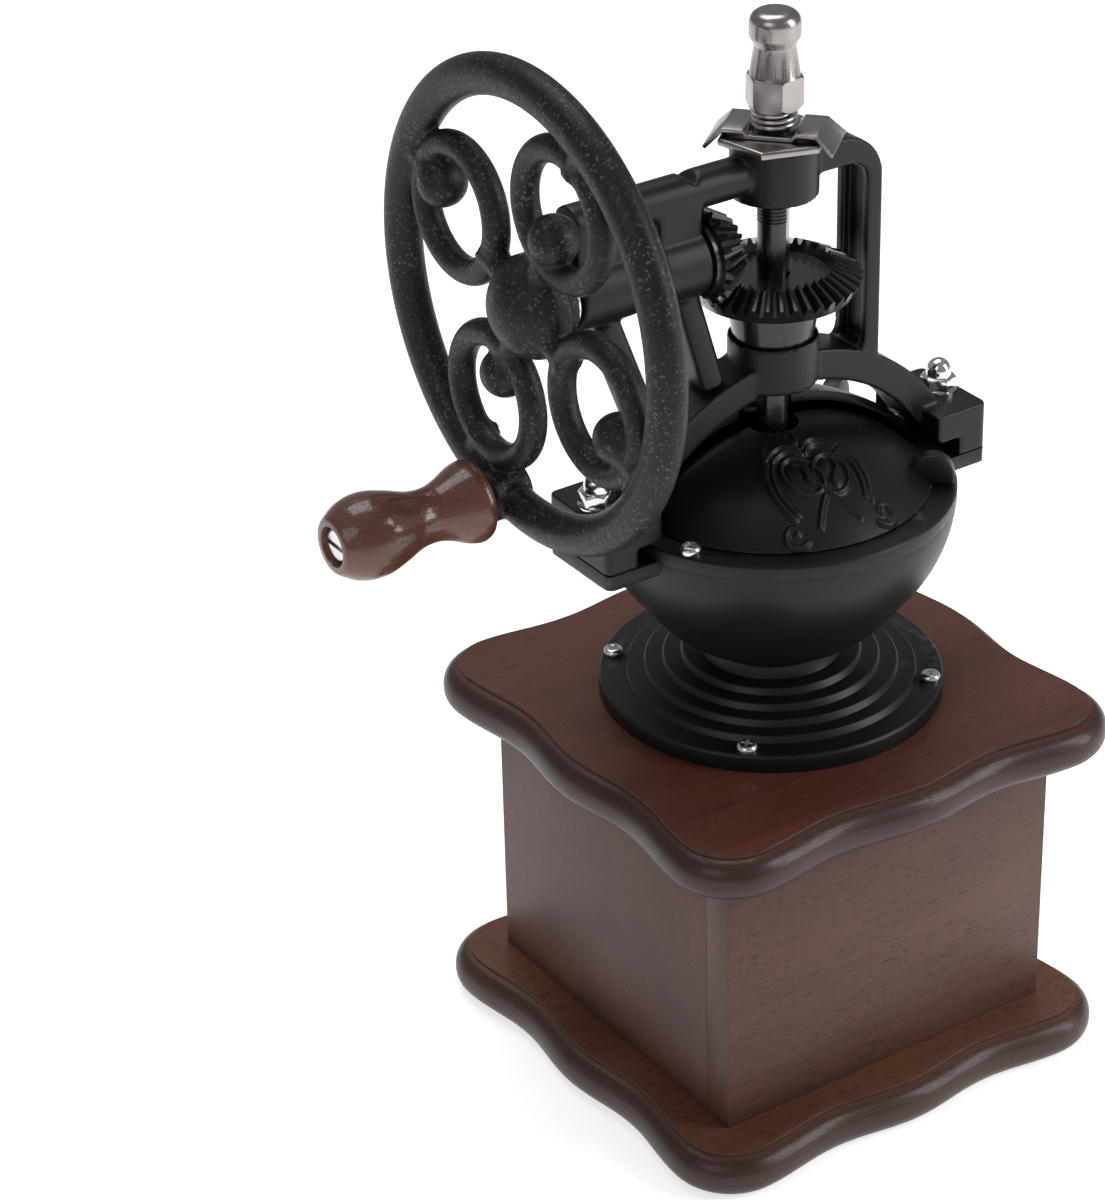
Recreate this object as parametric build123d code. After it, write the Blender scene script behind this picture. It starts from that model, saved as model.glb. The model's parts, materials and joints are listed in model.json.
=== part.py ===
from build123d import *
import os
from math import acos, atan2, cos, degrees, pi, radians, sin, sqrt, tan

# Hand crank coffee grinder. Millimetres, +Z up. The origin is the centre of the base underside.
# The mill spindle stands on the Z axis, the crank runs along X and the big wheel is on the -X side.
# The drawer opens towards +Y.

# ---- clearances ----
RUN_GAP = 0.05          # radial clearance of a shaft that turns in a bore
SEAT_GAP = 0.1          # air between pieces that rest on each other but move apart
MOVE_GAP = 0.4          # air between pieces that move past each other
WOOD_GAP = 0.5          # air round the drawer
SCREW_GAP = 0.1         # radial clearance of a bolt in a plain hole
RECESS_GAP = 0.8        # radial air round the gear hub in its cup
HEAD_GAP = 0.2          # radial air round a screw head in its recess
DOME_CLEAR = 0.7        # air between the yoke and the hopper cover
COVER_AIR = 1.8         # air between the door and the rear half that it slides under
LEG_AIR = 2.04          # air between the gear's teeth and the leg beside it

# ---- wooden case ----
BODY_SIDE = 100.0       # outer side of the square box
WALL_T = 9.0
WALL_H = 76.0
PLATE_T = 12.0
PLATE_OVERHANG = 15.0   # how far the bulges of the wavy plates stand out from the box
PLATE_CORNER_R = 17.0
PLATE_HOLLOW = 2.6      # depth of the two hollows along each side
PLATE_ROUND = 5.2       # radius of the rolled edge
PLATE_STEP = 0.9        # height of the small step above the rolled edge
PLATE_STEP_IN = 4.2     # how far the step stands in from the widest line
RAIL_H = 13.5
BASE_SCREW_R = 1.75
BASE_SCREW_HEAD_R = 3.6
BASE_SCREW_L = 30.0
SLOT_W = 0.8            # width and depth of the slots of small screws
SLOT_D = 1.0

# ---- drawer ----
DRAWER_LIP = 11.5       # how much lower the sides are than the front
DRAWER_SIDE_T = 5.0
DRAWER_BOTTOM_T = 3.0
DRAWER_BOTTOM_UP = 1.0
DRAWER_TAIL_GAP = 8.0   # free room behind the drawer
KNOB_R = 8.0
KNOB_L = 16.0
KNOB_STEM_R = 3.6
KNOB_FOOT_T = 1.6
KNOB_BORE = 9.6         # depth of the screw hole in the knob
KNOB_SCREW_R = 2.0
KNOB_SCREW_HEAD_R = 3.8
KNOB_SCREW_HEAD_T = 2.4

# ---- spindle and crank shaft ----
SPINDLE_R = 4.0
SPINDLE_FLAT_D = 0.6    # depth of the flat
SPINDLE_IN_BRIDGE = 5.0
SPINDLE_IN_CAP = 11.9
SHAFT_R = 4.0
KEY_W = 2.0
KEY_L = 5.0
KEY_DEPTH = (1.2, 1.0)  # below and above the surface of the shaft
SET_SCREW_R = 1.5
SET_SOCKET_AF = 1.5
SET_SOCKET_D = 2.0
SET_SCREW_SUNK = 0.6    # the wheel's set screw ends this far inside the hub

# ---- burrs and lower bearing ----
BURR_BORE_R = 15.0
BURR_H = 13.0
OUTER_BURR_TOP_T = 2.4  # radial thickness of the outer burr
OUTER_BURR_LOW_T = 4.8
INNER_BURR_TOP_T = 3.0
BURR_SLIT = 0.8         # gap between the burrs at the bottom
INNER_BURR_H = 15.0
BURR_TEETH = 12
BURR_GROOVE_D = 1.2
BURR_GROOVE_W = 1.8
BURR_GROOVE_TILT = 14.0
BURR_NUT_WALL = 1.0
BURR_NUT_T = 4.0
BRIDGE_T = 4.0
BRIDGE_W = 9.0
BRIDGE_DROP = 6.0       # underside of the flange to the top of the bridge bar
BRIDGE_BOSS_WALL = 3.0
BRIDGE_BOSS_H = 7.0
BRIDGE_SCREW_OUT = 3.6  # from the burr bore to the screw
BRIDGE_END = 3.4        # from the screw to the end of the bar
BRIDGE_SCREW_R = 1.65
BRIDGE_SCREW_BITE = 6.0
BRIDGE_HEAD_R = 2.8
BRIDGE_HEAD_T = 2.0
PLATE_HOLE_AIR = 2.0    # from the end of the bridge to the edge of the hole in the top plate

# ---- hopper bowl ----
FLANGE_R = 43.5
FLANGE_T = 4.6
FLANGE_STEPS = 4
FLANGE_STEP_IN = 6.3    # from the flange's edge to the first step
FLANGE_STEP_RISE = 1.7
NECK_WALL = 2.2         # from the burr bore to the outside of the neck
NECK_UP = 3.0           # straight neck above the last step
BOWL_R = 45.4
BOWL_H = 54.7           # flange underside to rim
BOWL_WALL = 3.0
EAR_REACH = 12.2        # from the bowl's rim to the outer end of the ears
EAR_HALF_Y = 12.75
EAR_T = 3.8
EAR_ROOT = 7.0          # how far an ear grows into the bowl
EAR_CORNER_R = 2.0
EAR_BOLT_IN = 5.6       # from the end of an ear to its bolt
EAR_BOLT_R = 2.5
EAR_BOLT_HEAD_WALL = 1.5
EAR_BOLT_HEAD_T = 3.5
EAR_WASHER_WALL = 2.2
EAR_WASHER_T = 0.8
ACORN_H = 3.6           # height of the six-sided part
ACORN_DOME_WALL = 0.7
ACORN_DOME_UP = 1.2     # straight part under the round end
FLANGE_SCREW_IN = 3.1
FLANGE_SCREW_R = 1.5
FLANGE_SCREW_L = 14.0
PAN_HEAD_R = 2.6
PAN_HEAD_T = 1.9

# ---- hopper cover and door ----
RING_T = 3.6
RING_W = 8.9            # radial width of the ring under the door
DOOR_IN = 6.2           # from the bowl's rim to the edge of the door
DOME_RISE = 15.62       # height of the door's shell over its rim
DOOR_T = 2.0
COVER_T = 2.2
COVER_EDGE_Y = 3.0      # front edge of the rear half
COVER_NOTCH_AIR = 4.5   # air between the spindle and the rear half
DOOR_NOTCH_AIR = 2.5
DOOR_HALF_ANGLE = 95.0
COVER_SCREW_IN = 3.1
COVER_SCREW_ANGLES = (206.0, 60.0)
COVER_SCREW_R = 1.5
COVER_SCREW_L = 3.0
TAB_R = 5.6
TAB_T = 4.0
DOOR_TAB_ANGLE = -40.0
COVER_TAB_ANGLE = 30.0
DOOR_TAB_IN = 0.2       # from the door's edge to the middle of its tab
DOOR_TAB_UP = 2.2
COVER_TAB_UP = 3.4

# ---- bevel gears ----
GEAR_MODULE = 1.05
GEAR_TEETH = 40
PINION_TEETH = 22
FACE_W = 7.6
TOOTH_PRESSURE = 20.0
TOOTH_SLACK = 0.14      # total backlash along the pitch circle
ADDENDUM = 0.9          # in modules
DEDENDUM = 1.25         # in modules
GEAR_BACK_T = 2.4
GEAR_WEB_DROP = 3.2     # depth of the flat web below the inner ends of the teeth
GEAR_HUB_WALL = 5.6
GEAR_HUB_FLARE = 2.0
GEAR_SCREW_UP = 5.6     # from the gear's underside to its set screw
THRUST_T = 1.0
THRUST_BORE_GAP = 0.3
PINION_BACK_WALL = 5.4
PINION_BACK_T = 2.4     # from the large end of the teeth to the barrel
PINION_NOSE = 2.2       # width of the flat inner end of the pinion

# ---- yoke, heights measured from the bowl's rim or from the crank ----
YOKE_HALF_Y = 6.2
CRANK_H = 69.3          # rim to crank axis
BOSS_WALL = 6.7
BOSS_UP = 10.5          # crank axis to the underside of the upper boss
BOSS_H = 13.5
CUP_WALL = 0.7
CUP_DEPTH = 3.5
LOWER_BOSS_UP = 31.3    # rim to the underside of the lower boss
LOWER_BOSS_H = 12.0
LEG_T = 4.4
LEG_BAR_T = 6.8
LEG_BAR_DROP = 2.3      # boss top down to the top of the bar
LEG_CORNER_R = 12.0
LEG_RIB_T = 2.0         # thickness of the web inside the grooved leg
LEG_FLANGE_T = 2.6      # wall on both sides of the groove
GROOVE_END = (2.0, 3.0) # from the groove to the sill and to the top bar
SILL_UP = 1.5           # lower boss underside to the top of the sill
SILL_T = 6.5
ARCH_T = 8.0
ARCH_FOOT_IN = 0.24     # from the bowl's rim line to the inside of the arch
ARCH_DROP = 0.5         # lower boss underside to the crown of the arch
FOOT_H = 12.5
FOOT_L = 15.6
FOOT_STEP_L = 8.6
FOOT_STEP_H = 5.0
ARM_R = 4.9
ARM_UP = 17.2           # crank axis to the arm's axis
ARM_SHORT = 1.0         # how far the arm stops short of the outer barrel's end
BARREL_WALL = 4.75
INNER_BARREL_L = 13.6
OUTER_BARREL_L = 17.3
BARREL_PAST_EAR = 2.4
LUG_HALF_Y = 4.9
LUG_INSET = 0.8         # how far a lug stands in from the ends of its barrel
NOTCH_IN = 2.1          # from the inner barrel's end to the casting notch on the arm
NOTCH_D = 1.6
STRUT_W = 6.5
STRUT_HALF_Y = 5.0
STRUT_CORNER_R = 2.4
STRUT_DROP = 8.0        # crank axis to the top ends of the struts
INNER_STRUT = (-4.3, 3.2, 36.3)         # x at the top and foot from the inner barrel's end, height
OUTER_STRUT = (9.65, 23.65, 24.3)       # the same from the outer barrel's end

# ---- parts on top of the yoke ----
TURN_ANGLE = -49.0      # direction of the lock plate wings and of the flat
ADJ_NUT_AF = 24.2
ADJ_NUT_T = 1.8
SHEET_T = 1.0
LOCK_DEPTH = 13.0
LOCK_CHANNEL_IN = 0.1   # the pressed-down middle is this much narrower than the spring
LOCK_CHANNEL_D = 1.2
LOCK_FLAT_IN = 1.1      # from the nut's flat to the bend of a wing
LOCK_WING = 3.9         # reach of a wing past the bend
LOCK_WING_DROP = 3.9
LOCK_WING_DEPTH = 16.6  # the wings widen towards their tips
SPRING_WIRE = 1.1
SPRING_TURNS = 2.75
SPRING_L = 5.0
HEX_WALL = 3.05         # from the spindle to the corners of the cap nut
HEX_H = 8.0
HEX_TURN = 8.0
CONE_LOW_WALL = 2.1
CONE_TOP_WALL = 1.0
CONE_H = 7.0
BALL_WALL = 2.15
BALL_NECK_H = 0.4
BALL_BELT = (2.2, 5.0)  # straight belt of the ball, above its foot
CAP_H = 23.7

# ---- wheel and handle ----
HUB_TO_BACK = 8.2       # middle plane of the wheel to the back of the hub
HUB_STEP = 4.0          # middle plane to the step behind the hub
HUB_FRONT = 9.4         # middle plane to the front of the hub
HUB_R = 12.5
HUB_BACK_WALL = 5.0
RIM_R = 54.3            # middle line of the rim
RIM_W = 10.0
RIM_D = 9.0
LOOP_BAR_R = 3.4
LOOP_PAD_R = 3.2        # bars that join a ring to the rim and the hub
LOOP_BITE = 0.3         # how far a ring is larger than the room for it, on each side
LOOP_OUT = 0.9          # how far the rings sit nearer to the rim
BALL_NECK_R = 2.4
BAR_FACETS = 16
LOOP_ANGLES = (28.0, 118.0, 208.0, 298.0)
BALL_SIDE = (1, -1, 1, -1)      # 1: ball next to the rim, -1: next to the hub
WHEEL_BALL_R = 6.1
BALL_IN = 6.9           # from a ring's middle line to the middle of its ball
SHAFT_SHORT = 4.0       # hub front to the end of the shaft
SHAFT_BITE = 7.4        # how far the shaft runs past the large end of the pinion
WASHER_T = 1.0
WHEEL_WASHER_WALL = 3.6
HANDLE_ANGLE = -76.0
HANDLE_BOSS_R = 6.6
HANDLE_BOSS = (6.4, 4.6)        # in front of and behind the middle plane
HANDLE_BLIND = 2.0      # wood screw thread stops this far from the boss's back
HANDLE_WASHER_R = 6.0
BOLT_R = 2.5
BOLT_HEAD_WALL = 1.9
BOLT_HEAD_T = 2.6
BOLT_SUNK = 1.0
GRIP_L = 40.0
GRIP_R = 10.2
GRIP_WAIST_R = 6.6
GRIP_BELLY_R = 10.4
GRIP_END_R = 7.2
GRIP_LIP = 2.4          # width of the lip next to the wheel
GRIP_END_ROUND = 1.0
GRIP_WAIST_AT = 0.34    # shares of the length, from the wheel end
GRIP_BELLY_AT = 0.72

# ---- case and hopper sizes that follow from the sizes above ----
FLOOR_Z = PLATE_T
WALL_TOP_Z = PLATE_T + WALL_H
TOP_Z = WALL_TOP_Z + PLATE_T
HALF = BODY_SIDE / 2
INNER = HALF - WALL_T
PLATE_HALF = HALF + PLATE_OVERHANG
NECK_R = BURR_BORE_R + NECK_WALL
NECK_Z = TOP_Z + FLANGE_T + FLANGE_STEPS * FLANGE_STEP_RISE + NECK_UP
FLANGE_STEP_R = FLANGE_R - FLANGE_STEP_IN
FLANGE_STEP_RUN = (FLANGE_STEP_R - NECK_R - 1.2) / FLANGE_STEPS
FLANGE_SCREW_PCR = FLANGE_R - FLANGE_SCREW_IN
RIM_Z = TOP_Z + BOWL_H
EAR_X = BOWL_R + EAR_REACH
EAR_BOLT_X = EAR_X - EAR_BOLT_IN
EAR_WASHER_R = EAR_BOLT_R + EAR_WASHER_WALL
EAR_NUT_AF = 2 * (EAR_BOLT_R + EAR_BOLT_HEAD_WALL)
RING_TOP_Z = RIM_Z + RING_T
RING_IN_R = BOWL_R - RING_W
COVER_SCREW_PCR = BOWL_R - COVER_SCREW_IN
DOOR_RIM_R = BOWL_R - DOOR_IN
DOOR_LOW_Z = RING_TOP_Z + MOVE_GAP
DOME_R = (DOOR_RIM_R**2 + DOME_RISE**2) / (2 * DOME_RISE)
DOME_CENTRE_Z = DOOR_LOW_Z + DOME_RISE - DOME_R
COVER_IN_R = DOME_R + COVER_AIR
COVER_OUT_R = COVER_IN_R + COVER_T
COVER_NOTCH_R = SPINDLE_R + COVER_NOTCH_AIR
DOOR_NOTCH_R = SPINDLE_R + DOOR_NOTCH_AIR

# ---- mill sizes that follow ----
BRIDGE_TOP_Z = TOP_Z - BRIDGE_DROP
BRIDGE_SCREW_X = BURR_BORE_R + BRIDGE_SCREW_OUT
BRIDGE_HALF_L = BRIDGE_SCREW_X + BRIDGE_END
BRIDGE_BOSS_R = SPINDLE_R + BRIDGE_BOSS_WALL
PLATE_HOLE_R = BRIDGE_HALF_L + PLATE_HOLE_AIR
OUTER_BURR_TOP_R = BURR_BORE_R - OUTER_BURR_TOP_T
OUTER_BURR_LOW_R = BURR_BORE_R - OUTER_BURR_LOW_T
INNER_BURR_TOP_R = SPINDLE_R + INNER_BURR_TOP_T
GEAR_R = GEAR_MODULE * GEAR_TEETH / 2
PINION_R = GEAR_MODULE * PINION_TEETH / 2
GEAR_CONE = atan2(GEAR_R, PINION_R)
PINION_CONE = pi / 2 - GEAR_CONE
CONE_LENGTH = sqrt(GEAR_R**2 + PINION_R**2)
INNER_SHARE = 1 - FACE_W / CONE_LENGTH
GEAR_TIP_R = GEAR_R + ADDENDUM * GEAR_MODULE * cos(GEAR_CONE)
GEAR_HUB_R = SPINDLE_R + GEAR_HUB_WALL
CUP_R = GEAR_HUB_R + RECESS_GAP

# ---- yoke sizes that follow ----
CRANK_Z = RIM_Z + CRANK_H
BOSS_R = SPINDLE_R + BOSS_WALL
BOSS_BOTTOM_Z = CRANK_Z + BOSS_UP
BOSS_TOP_Z = BOSS_BOTTOM_Z + BOSS_H
LOWER_BOSS_R = CUP_R + CUP_WALL
LOWER_BOSS_BOTTOM_Z = RIM_Z + LOWER_BOSS_UP
LOWER_BOSS_TOP_Z = LOWER_BOSS_BOTTOM_Z + LOWER_BOSS_H
CUP_FLOOR_Z = LOWER_BOSS_TOP_Z - CUP_DEPTH
GEAR_BOTTOM_Z = CUP_FLOOR_Z + THRUST_T + SEAT_GAP
LEG_X = GEAR_TIP_R + LEG_AIR + LEG_T
SILL_TOP_Z = LOWER_BOSS_BOTTOM_Z + SILL_UP
ARCH_RISE = LOWER_BOSS_UP - ARCH_DROP
ARCH_R = ((BOWL_R - ARCH_FOOT_IN) ** 2 + ARCH_RISE**2) / (2 * ARCH_RISE)
ARCH_CENTRE_Z = RIM_Z + ARCH_RISE - ARCH_R
FOOT_TOP_Z = RIM_Z + FOOT_H
ARM_Z = CRANK_Z + ARM_UP
BARREL_R = SHAFT_R + BARREL_WALL
INNER_BARREL_X = -(GEAR_R + PINION_BACK_T)      # end next to the pinion
OUTER_BARREL_X = -(EAR_X + BARREL_PAST_EAR)     # end next to the wheel

# ---- sizes of the top stack, wheel and handle that follow ----
ADJ_NUT_TOP_Z = BOSS_TOP_Z + ADJ_NUT_T
LOCK_Z = ADJ_NUT_TOP_Z + SEAT_GAP
SPRING_Z = LOCK_Z + SHEET_T + SEAT_GAP
CAP_Z = SPRING_Z + SPRING_L + SEAT_GAP
SPINDLE_FLAT = SPINDLE_R - SPINDLE_FLAT_D
SPINDLE_BOTTOM_Z = BRIDGE_TOP_Z - SPINDLE_IN_BRIDGE
SPINDLE_TOP_Z = CAP_Z + SPINDLE_IN_CAP
SPRING_R = SPINDLE_R + MOVE_GAP + SPRING_WIRE   # outside of the coil
LOCK_CHANNEL = SPRING_R - LOCK_CHANNEL_IN
LOCK_FLAT = ADJ_NUT_AF / 2 - LOCK_FLAT_IN
HEX_R = SPINDLE_R + HEX_WALL
HUB_BACK_X = OUTER_BARREL_X - MOVE_GAP - WASHER_T
HUB_BACK_R = SHAFT_R + HUB_BACK_WALL
WHEEL_X = HUB_BACK_X - HUB_TO_BACK
HUB_FRONT_X = WHEEL_X - HUB_FRONT
RIM_IN_R = RIM_R - RIM_W / 2
LOOP_R = (RIM_IN_R - HUB_R) / 2 - LOOP_BAR_R + LOOP_BITE
LOOP_AT_R = (RIM_IN_R + HUB_R) / 2 + LOOP_OUT
BALL_OFFSET = LOOP_R - BALL_IN
SHAFT_END_X = HUB_FRONT_X + SHAFT_SHORT
SHAFT_IN_X = SHAFT_BITE - GEAR_R
HANDLE_BOSS_X = (WHEEL_X - HANDLE_BOSS[0], WHEEL_X + HANDLE_BOSS[1])
HANDLE_Y = RIM_R * cos(radians(HANDLE_ANGLE))
HANDLE_Z = CRANK_Z + RIM_R * sin(radians(HANDLE_ANGLE))
BOLT_HEAD_R = BOLT_R + BOLT_HEAD_WALL


# ---------------------------------------------------------------- helpers
def box(x, y, z):
    """Box from three (low, high) pairs."""
    size = [hi - lo for lo, hi in (x, y, z)]
    mid = [(hi + lo) / 2 for lo, hi in (x, y, z)]
    return Pos(*mid) * Box(*size)


def rod(r, z0, z1, x=0.0, y=0.0):
    """Upright cylinder between two levels."""
    return Pos(x, y, (z0 + z1) / 2) * Cylinder(r, z1 - z0)


def rod_x(r, x0, x1, y=0.0, z=0.0):
    """Cylinder along X between two places."""
    return Pos((x0 + x1) / 2, y, z) * Rot(0, 90, 0) * Cylinder(r, abs(x1 - x0))


def rod_y(r, y0, y1, x=0.0, z=0.0):
    """Cylinder along Y between two places."""
    return Pos(x, (y0 + y1) / 2, z) * Rot(90, 0, 0) * Cylinder(r, abs(y1 - y0))


def turned(points):
    """Solid of revolution about Z from a closed (radius, height) polygon."""
    face = make_face(Plane.XZ * Polyline(*points, close=True))
    return revolve(face, Axis.Z, 360)


def turned_x(points):
    """Solid of revolution about X from a closed (place along X, radius) polygon."""
    face = make_face(Plane.XZ * Polyline(*points, close=True))
    return revolve(face, Axis.X, 360)


def hex_rod(across_flats, z0, z1, angle=0.0):
    sketch = RegularPolygon(across_flats / 2, 6, major_radius=False, rotation=angle)
    return Pos(0, 0, z0) * extrude(sketch, z1 - z0)


def union(shapes):
    total = shapes[0]
    for shape in shapes[1:]:
        total = total + shape
    return total


def pan_screw(head_r, head_t, shank_r, length):
    """Pan-head cross-recess screw, head seat at the origin, shank pointing down."""
    dome = fillet(Cylinder(head_r, head_t).edges().group_by(Axis.Z)[-1], head_t * 0.62)
    head = Pos(0, 0, head_t / 2) * dome
    recess_w, recess_l = head_r * 0.26, head_r * 1.15
    top = (head_t * 0.45, head_t * 1.1)
    cross = box((-recess_l / 2, recess_l / 2), (-recess_w / 2, recess_w / 2), top)
    cross += box((-recess_w / 2, recess_w / 2), (-recess_l / 2, recess_l / 2), top)
    return head - cross + rod(shank_r, -length, 0)


def save(node, shape):
    if isinstance(shape, (list, tuple)):
        shape = Compound(children=[Part(s.wrapped) for s in shape])
    export_step(shape, f"parts/{node}.step")


# ---------------------------------------------------------------- wooden case
def wavy_outline(inset=0.0):
    """Square with round corners and two shallow hollows along each side."""
    half = PLATE_HALF - inset
    corner_r = PLATE_CORNER_R - inset
    c = half - corner_r
    edges = []
    for turn in range(4):
        spin = Rot(0, 0, 90 * turn)
        for crest_x, hollow_x in ((c, c / 2), (0, c / 2), (0, -c / 2), (-c, -c / 2)):
            way = 1 if hollow_x > crest_x else -1
            mid = ((crest_x + hollow_x) / 2, half - PLATE_HOLLOW / 2)
            edges.append(spin * TangentArc((crest_x, half), mid, tangent=(way, 0)))
            edges.append(spin * TangentArc((hollow_x, half - PLATE_HOLLOW), mid, tangent=(-way, 0)))
        corner_mid = (-c - corner_r * sqrt(0.5), c + corner_r * sqrt(0.5))
        edges.append(spin * ThreePointArc((-c, half), corner_mid, (-half, c)))
    return make_face(edges)


def wavy_plate(z0):
    slab = extrude(wavy_outline(), PLATE_T - PLATE_STEP)
    rims = slab.edges().group_by(Axis.Z)
    slab = fillet(list(rims[0]) + list(rims[-1]), PLATE_ROUND)
    step = Pos(0, 0, PLATE_T / 2) * extrude(wavy_outline(PLATE_STEP_IN), PLATE_T / 2)
    return Pos(0, 0, z0) * (slab + step)


def base_screw_places():
    at = HALF - WALL_T / 2
    return [(sx * at, sy * at * 0.7) for sx in (-1, 1) for sy in (-1, 1)]


def base_screw(grow=0.0):
    """Countersunk wood screw, flat head flush with the underside, pointing up."""
    neck = BASE_SCREW_HEAD_R - BASE_SCREW_R
    cone = [(0, 0), (BASE_SCREW_HEAD_R + grow, 0), (BASE_SCREW_R + grow, neck), (0, neck)]
    return turned(cone) + rod(BASE_SCREW_R + grow, 0, BASE_SCREW_L)


def base_screws():
    reach, side = BASE_SCREW_HEAD_R * 2 / 3, SLOT_W / 2
    slot = box((-reach, reach), (-side, side), (0, SLOT_D)) + box((-side, side), (-reach, reach), (0, SLOT_D))
    return [Pos(x, y, PLATE_STEP) * (base_screw() - slot) for x, y in base_screw_places()]


def case_nodes():
    cuts = []
    for x, y in base_screw_places():
        cuts.append(Pos(x, y, PLATE_STEP) * base_screw() + rod(BASE_SCREW_HEAD_R, 0, PLATE_STEP, x, y))
    base = wavy_plate(0) - cuts
    top = wavy_plate(WALL_TOP_Z) - rod(PLATE_HOLE_R, WALL_TOP_Z, TOP_Z)
    for x, y in flange_screw_places():
        top -= rod(FLANGE_SCREW_R, TOP_Z + FLANGE_T - FLANGE_SCREW_L, TOP_Z, x, y)
    level = (FLOOR_Z, WALL_TOP_Z)
    left = box((-HALF, -INNER), (-INNER, HALF), level) - cuts
    right = box((INNER, HALF), (-INNER, HALF), level) - cuts
    return {
        "base_plate": base,
        "top_plate": top,
        "back_wall": box((-HALF, HALF), (-HALF, -INNER), level),
        "left_wall": left,
        "right_wall": right,
        "front_rail": box((-INNER, INNER), (INNER, HALF), (WALL_TOP_Z - RAIL_H, WALL_TOP_Z)),
        "base_screws": base_screws(),
    }


# ---------------------------------------------------------------- drawer
def drawer_nodes():
    z0 = FLOOR_Z + WOOD_GAP
    x_out = INNER - WOOD_GAP
    x_in = x_out - DRAWER_SIDE_T
    y0 = -INNER + DRAWER_TAIL_GAP
    y_front = HALF - WALL_T
    z_knob = (FLOOR_Z + WALL_TOP_Z - RAIL_H) / 2
    front_level = (z0, WALL_TOP_Z - RAIL_H - WOOD_GAP)
    side_level = (z0, front_level[1] - DRAWER_LIP)
    floor_level = (z0 + DRAWER_BOTTOM_UP, z0 + DRAWER_BOTTOM_UP + DRAWER_BOTTOM_T)
    front = box((-x_out, x_out), (y_front, HALF), front_level)
    front -= rod_y(KNOB_SCREW_R, y_front, HALF, 0, z_knob)
    return {
        "drawer_front": front,
        "drawer_left_side": box((-x_out, -x_in), (y0, y_front), side_level),
        "drawer_right_side": box((x_in, x_out), (y0, y_front), side_level),
        "drawer_back": box((-x_in, x_in), (y0, y0 + DRAWER_SIDE_T), side_level),
        "drawer_bottom": box((-x_in, x_in), (y0 + DRAWER_SIDE_T, y_front), floor_level),
        "drawer_knob": Pos(0, HALF, z_knob) * Rot(-90, 0, 0) * knob(),
        "drawer_knob_screw": Pos(0, 0, z_knob) * knob_screw(y_front),
    }


def knob():
    """Turned knob, foot at the origin, growing along +Z."""
    foot_r = KNOB_STEM_R + 2.0
    stem_z = KNOB_L * 0.42
    ball_z = KNOB_L - KNOB_R * 0.62
    outline = Polyline(
        (0, 0), (foot_r, 0), (foot_r, KNOB_FOOT_T), (KNOB_STEM_R, KNOB_FOOT_T + 1.0), (KNOB_STEM_R, stem_z),
    )
    shoulder = ThreePointArc((KNOB_STEM_R, stem_z), (KNOB_R, ball_z), (KNOB_R * 0.62, KNOB_L - 1.0))
    cap = Polyline((KNOB_R * 0.62, KNOB_L - 1.0), (KNOB_R * 0.4, KNOB_L), (0, KNOB_L), (0, 0))
    face = make_face([Plane.XZ * e for e in (outline, shoulder, cap)])
    return revolve(face, Axis.Z, 360) - rod(KNOB_SCREW_R, 0, KNOB_BORE)


def knob_screw(y_front):
    shank = rod_y(KNOB_SCREW_R, y_front, HALF + KNOB_BORE)
    head = rod_y(KNOB_SCREW_HEAD_R, y_front - KNOB_SCREW_HEAD_T, y_front)
    head = fillet(head.edges().group_by(Axis.Y)[0], KNOB_SCREW_HEAD_T * 0.4)
    slot_y = (y_front - KNOB_SCREW_HEAD_T, y_front - KNOB_SCREW_HEAD_T * 0.6)
    return shank + head - box((-KNOB_SCREW_HEAD_R, KNOB_SCREW_HEAD_R), slot_y, (-SLOT_W / 2, SLOT_W / 2))


# ---------------------------------------------------------------- hopper bowl
def flange_screw_places():
    r = FLANGE_SCREW_PCR
    return [(r * cos(radians(a)), r * sin(radians(a))) for a in (45, 135, 225, 315)]


def bowl_curve(shrink):
    """Side of the bowl from neck to rim as (radius, height) points, moved in by shrink."""
    span = RIM_Z - NECK_Z
    shares = ((0.0, 0.0), (0.25, 0.12), (0.53, 0.31), (0.80, 0.56), (0.95, 0.80), (1.0, 1.0))
    lift = shrink * 0.75
    points = []
    for out, up in shares:
        points.append((NECK_R + (BOWL_R - NECK_R) * out - shrink, NECK_Z + lift * (1 - up) + span * up))
    return points


def bowl_outside():
    z = TOP_Z + FLANGE_T
    rim = [(0, TOP_Z), (FLANGE_R, TOP_Z), (FLANGE_R, z - 0.6), (FLANGE_R - 0.6, z), (FLANGE_STEP_R, z)]
    r = FLANGE_STEP_R
    for _ in range(FLANGE_STEPS):
        rim += [(r - 0.5, z + FLANGE_STEP_RISE - 0.4), (r - 0.9, z + FLANGE_STEP_RISE)]
        r -= FLANGE_STEP_RUN
        z += FLANGE_STEP_RISE
        rim.append((r, z))
    curve = bowl_curve(0.0)
    rim[-1] = (NECK_R + 0.8, z)
    rim.append(curve[0])
    side = Spline(*curve, tangents=[(0.35, 1), (0.12, 1)])
    close = Polyline(curve[-1], (0, RIM_Z), (0, TOP_Z))
    face = make_face([Plane.XZ * e for e in (Polyline(*rim), side, close)])
    return revolve(face, Axis.Z, 360)


def bowl_inside():
    """The bean space, from the burr seat up to the rim."""
    curve = bowl_curve(BOWL_WALL)
    seat_z = TOP_Z + BURR_H
    side = Spline(*curve, tangents=[(0.5, 1), (0.12, 1)])
    lead = Polyline((0, seat_z), (BURR_BORE_R, seat_z), (BURR_BORE_R, curve[0][1]), curve[0])
    close = Polyline(curve[-1], (curve[-1][0], RIM_Z + 1), (0, RIM_Z + 1), (0, seat_z))
    face = make_face([Plane.XZ * e for e in (lead, side, close)])
    return revolve(face, Axis.Z, 360)


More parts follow.
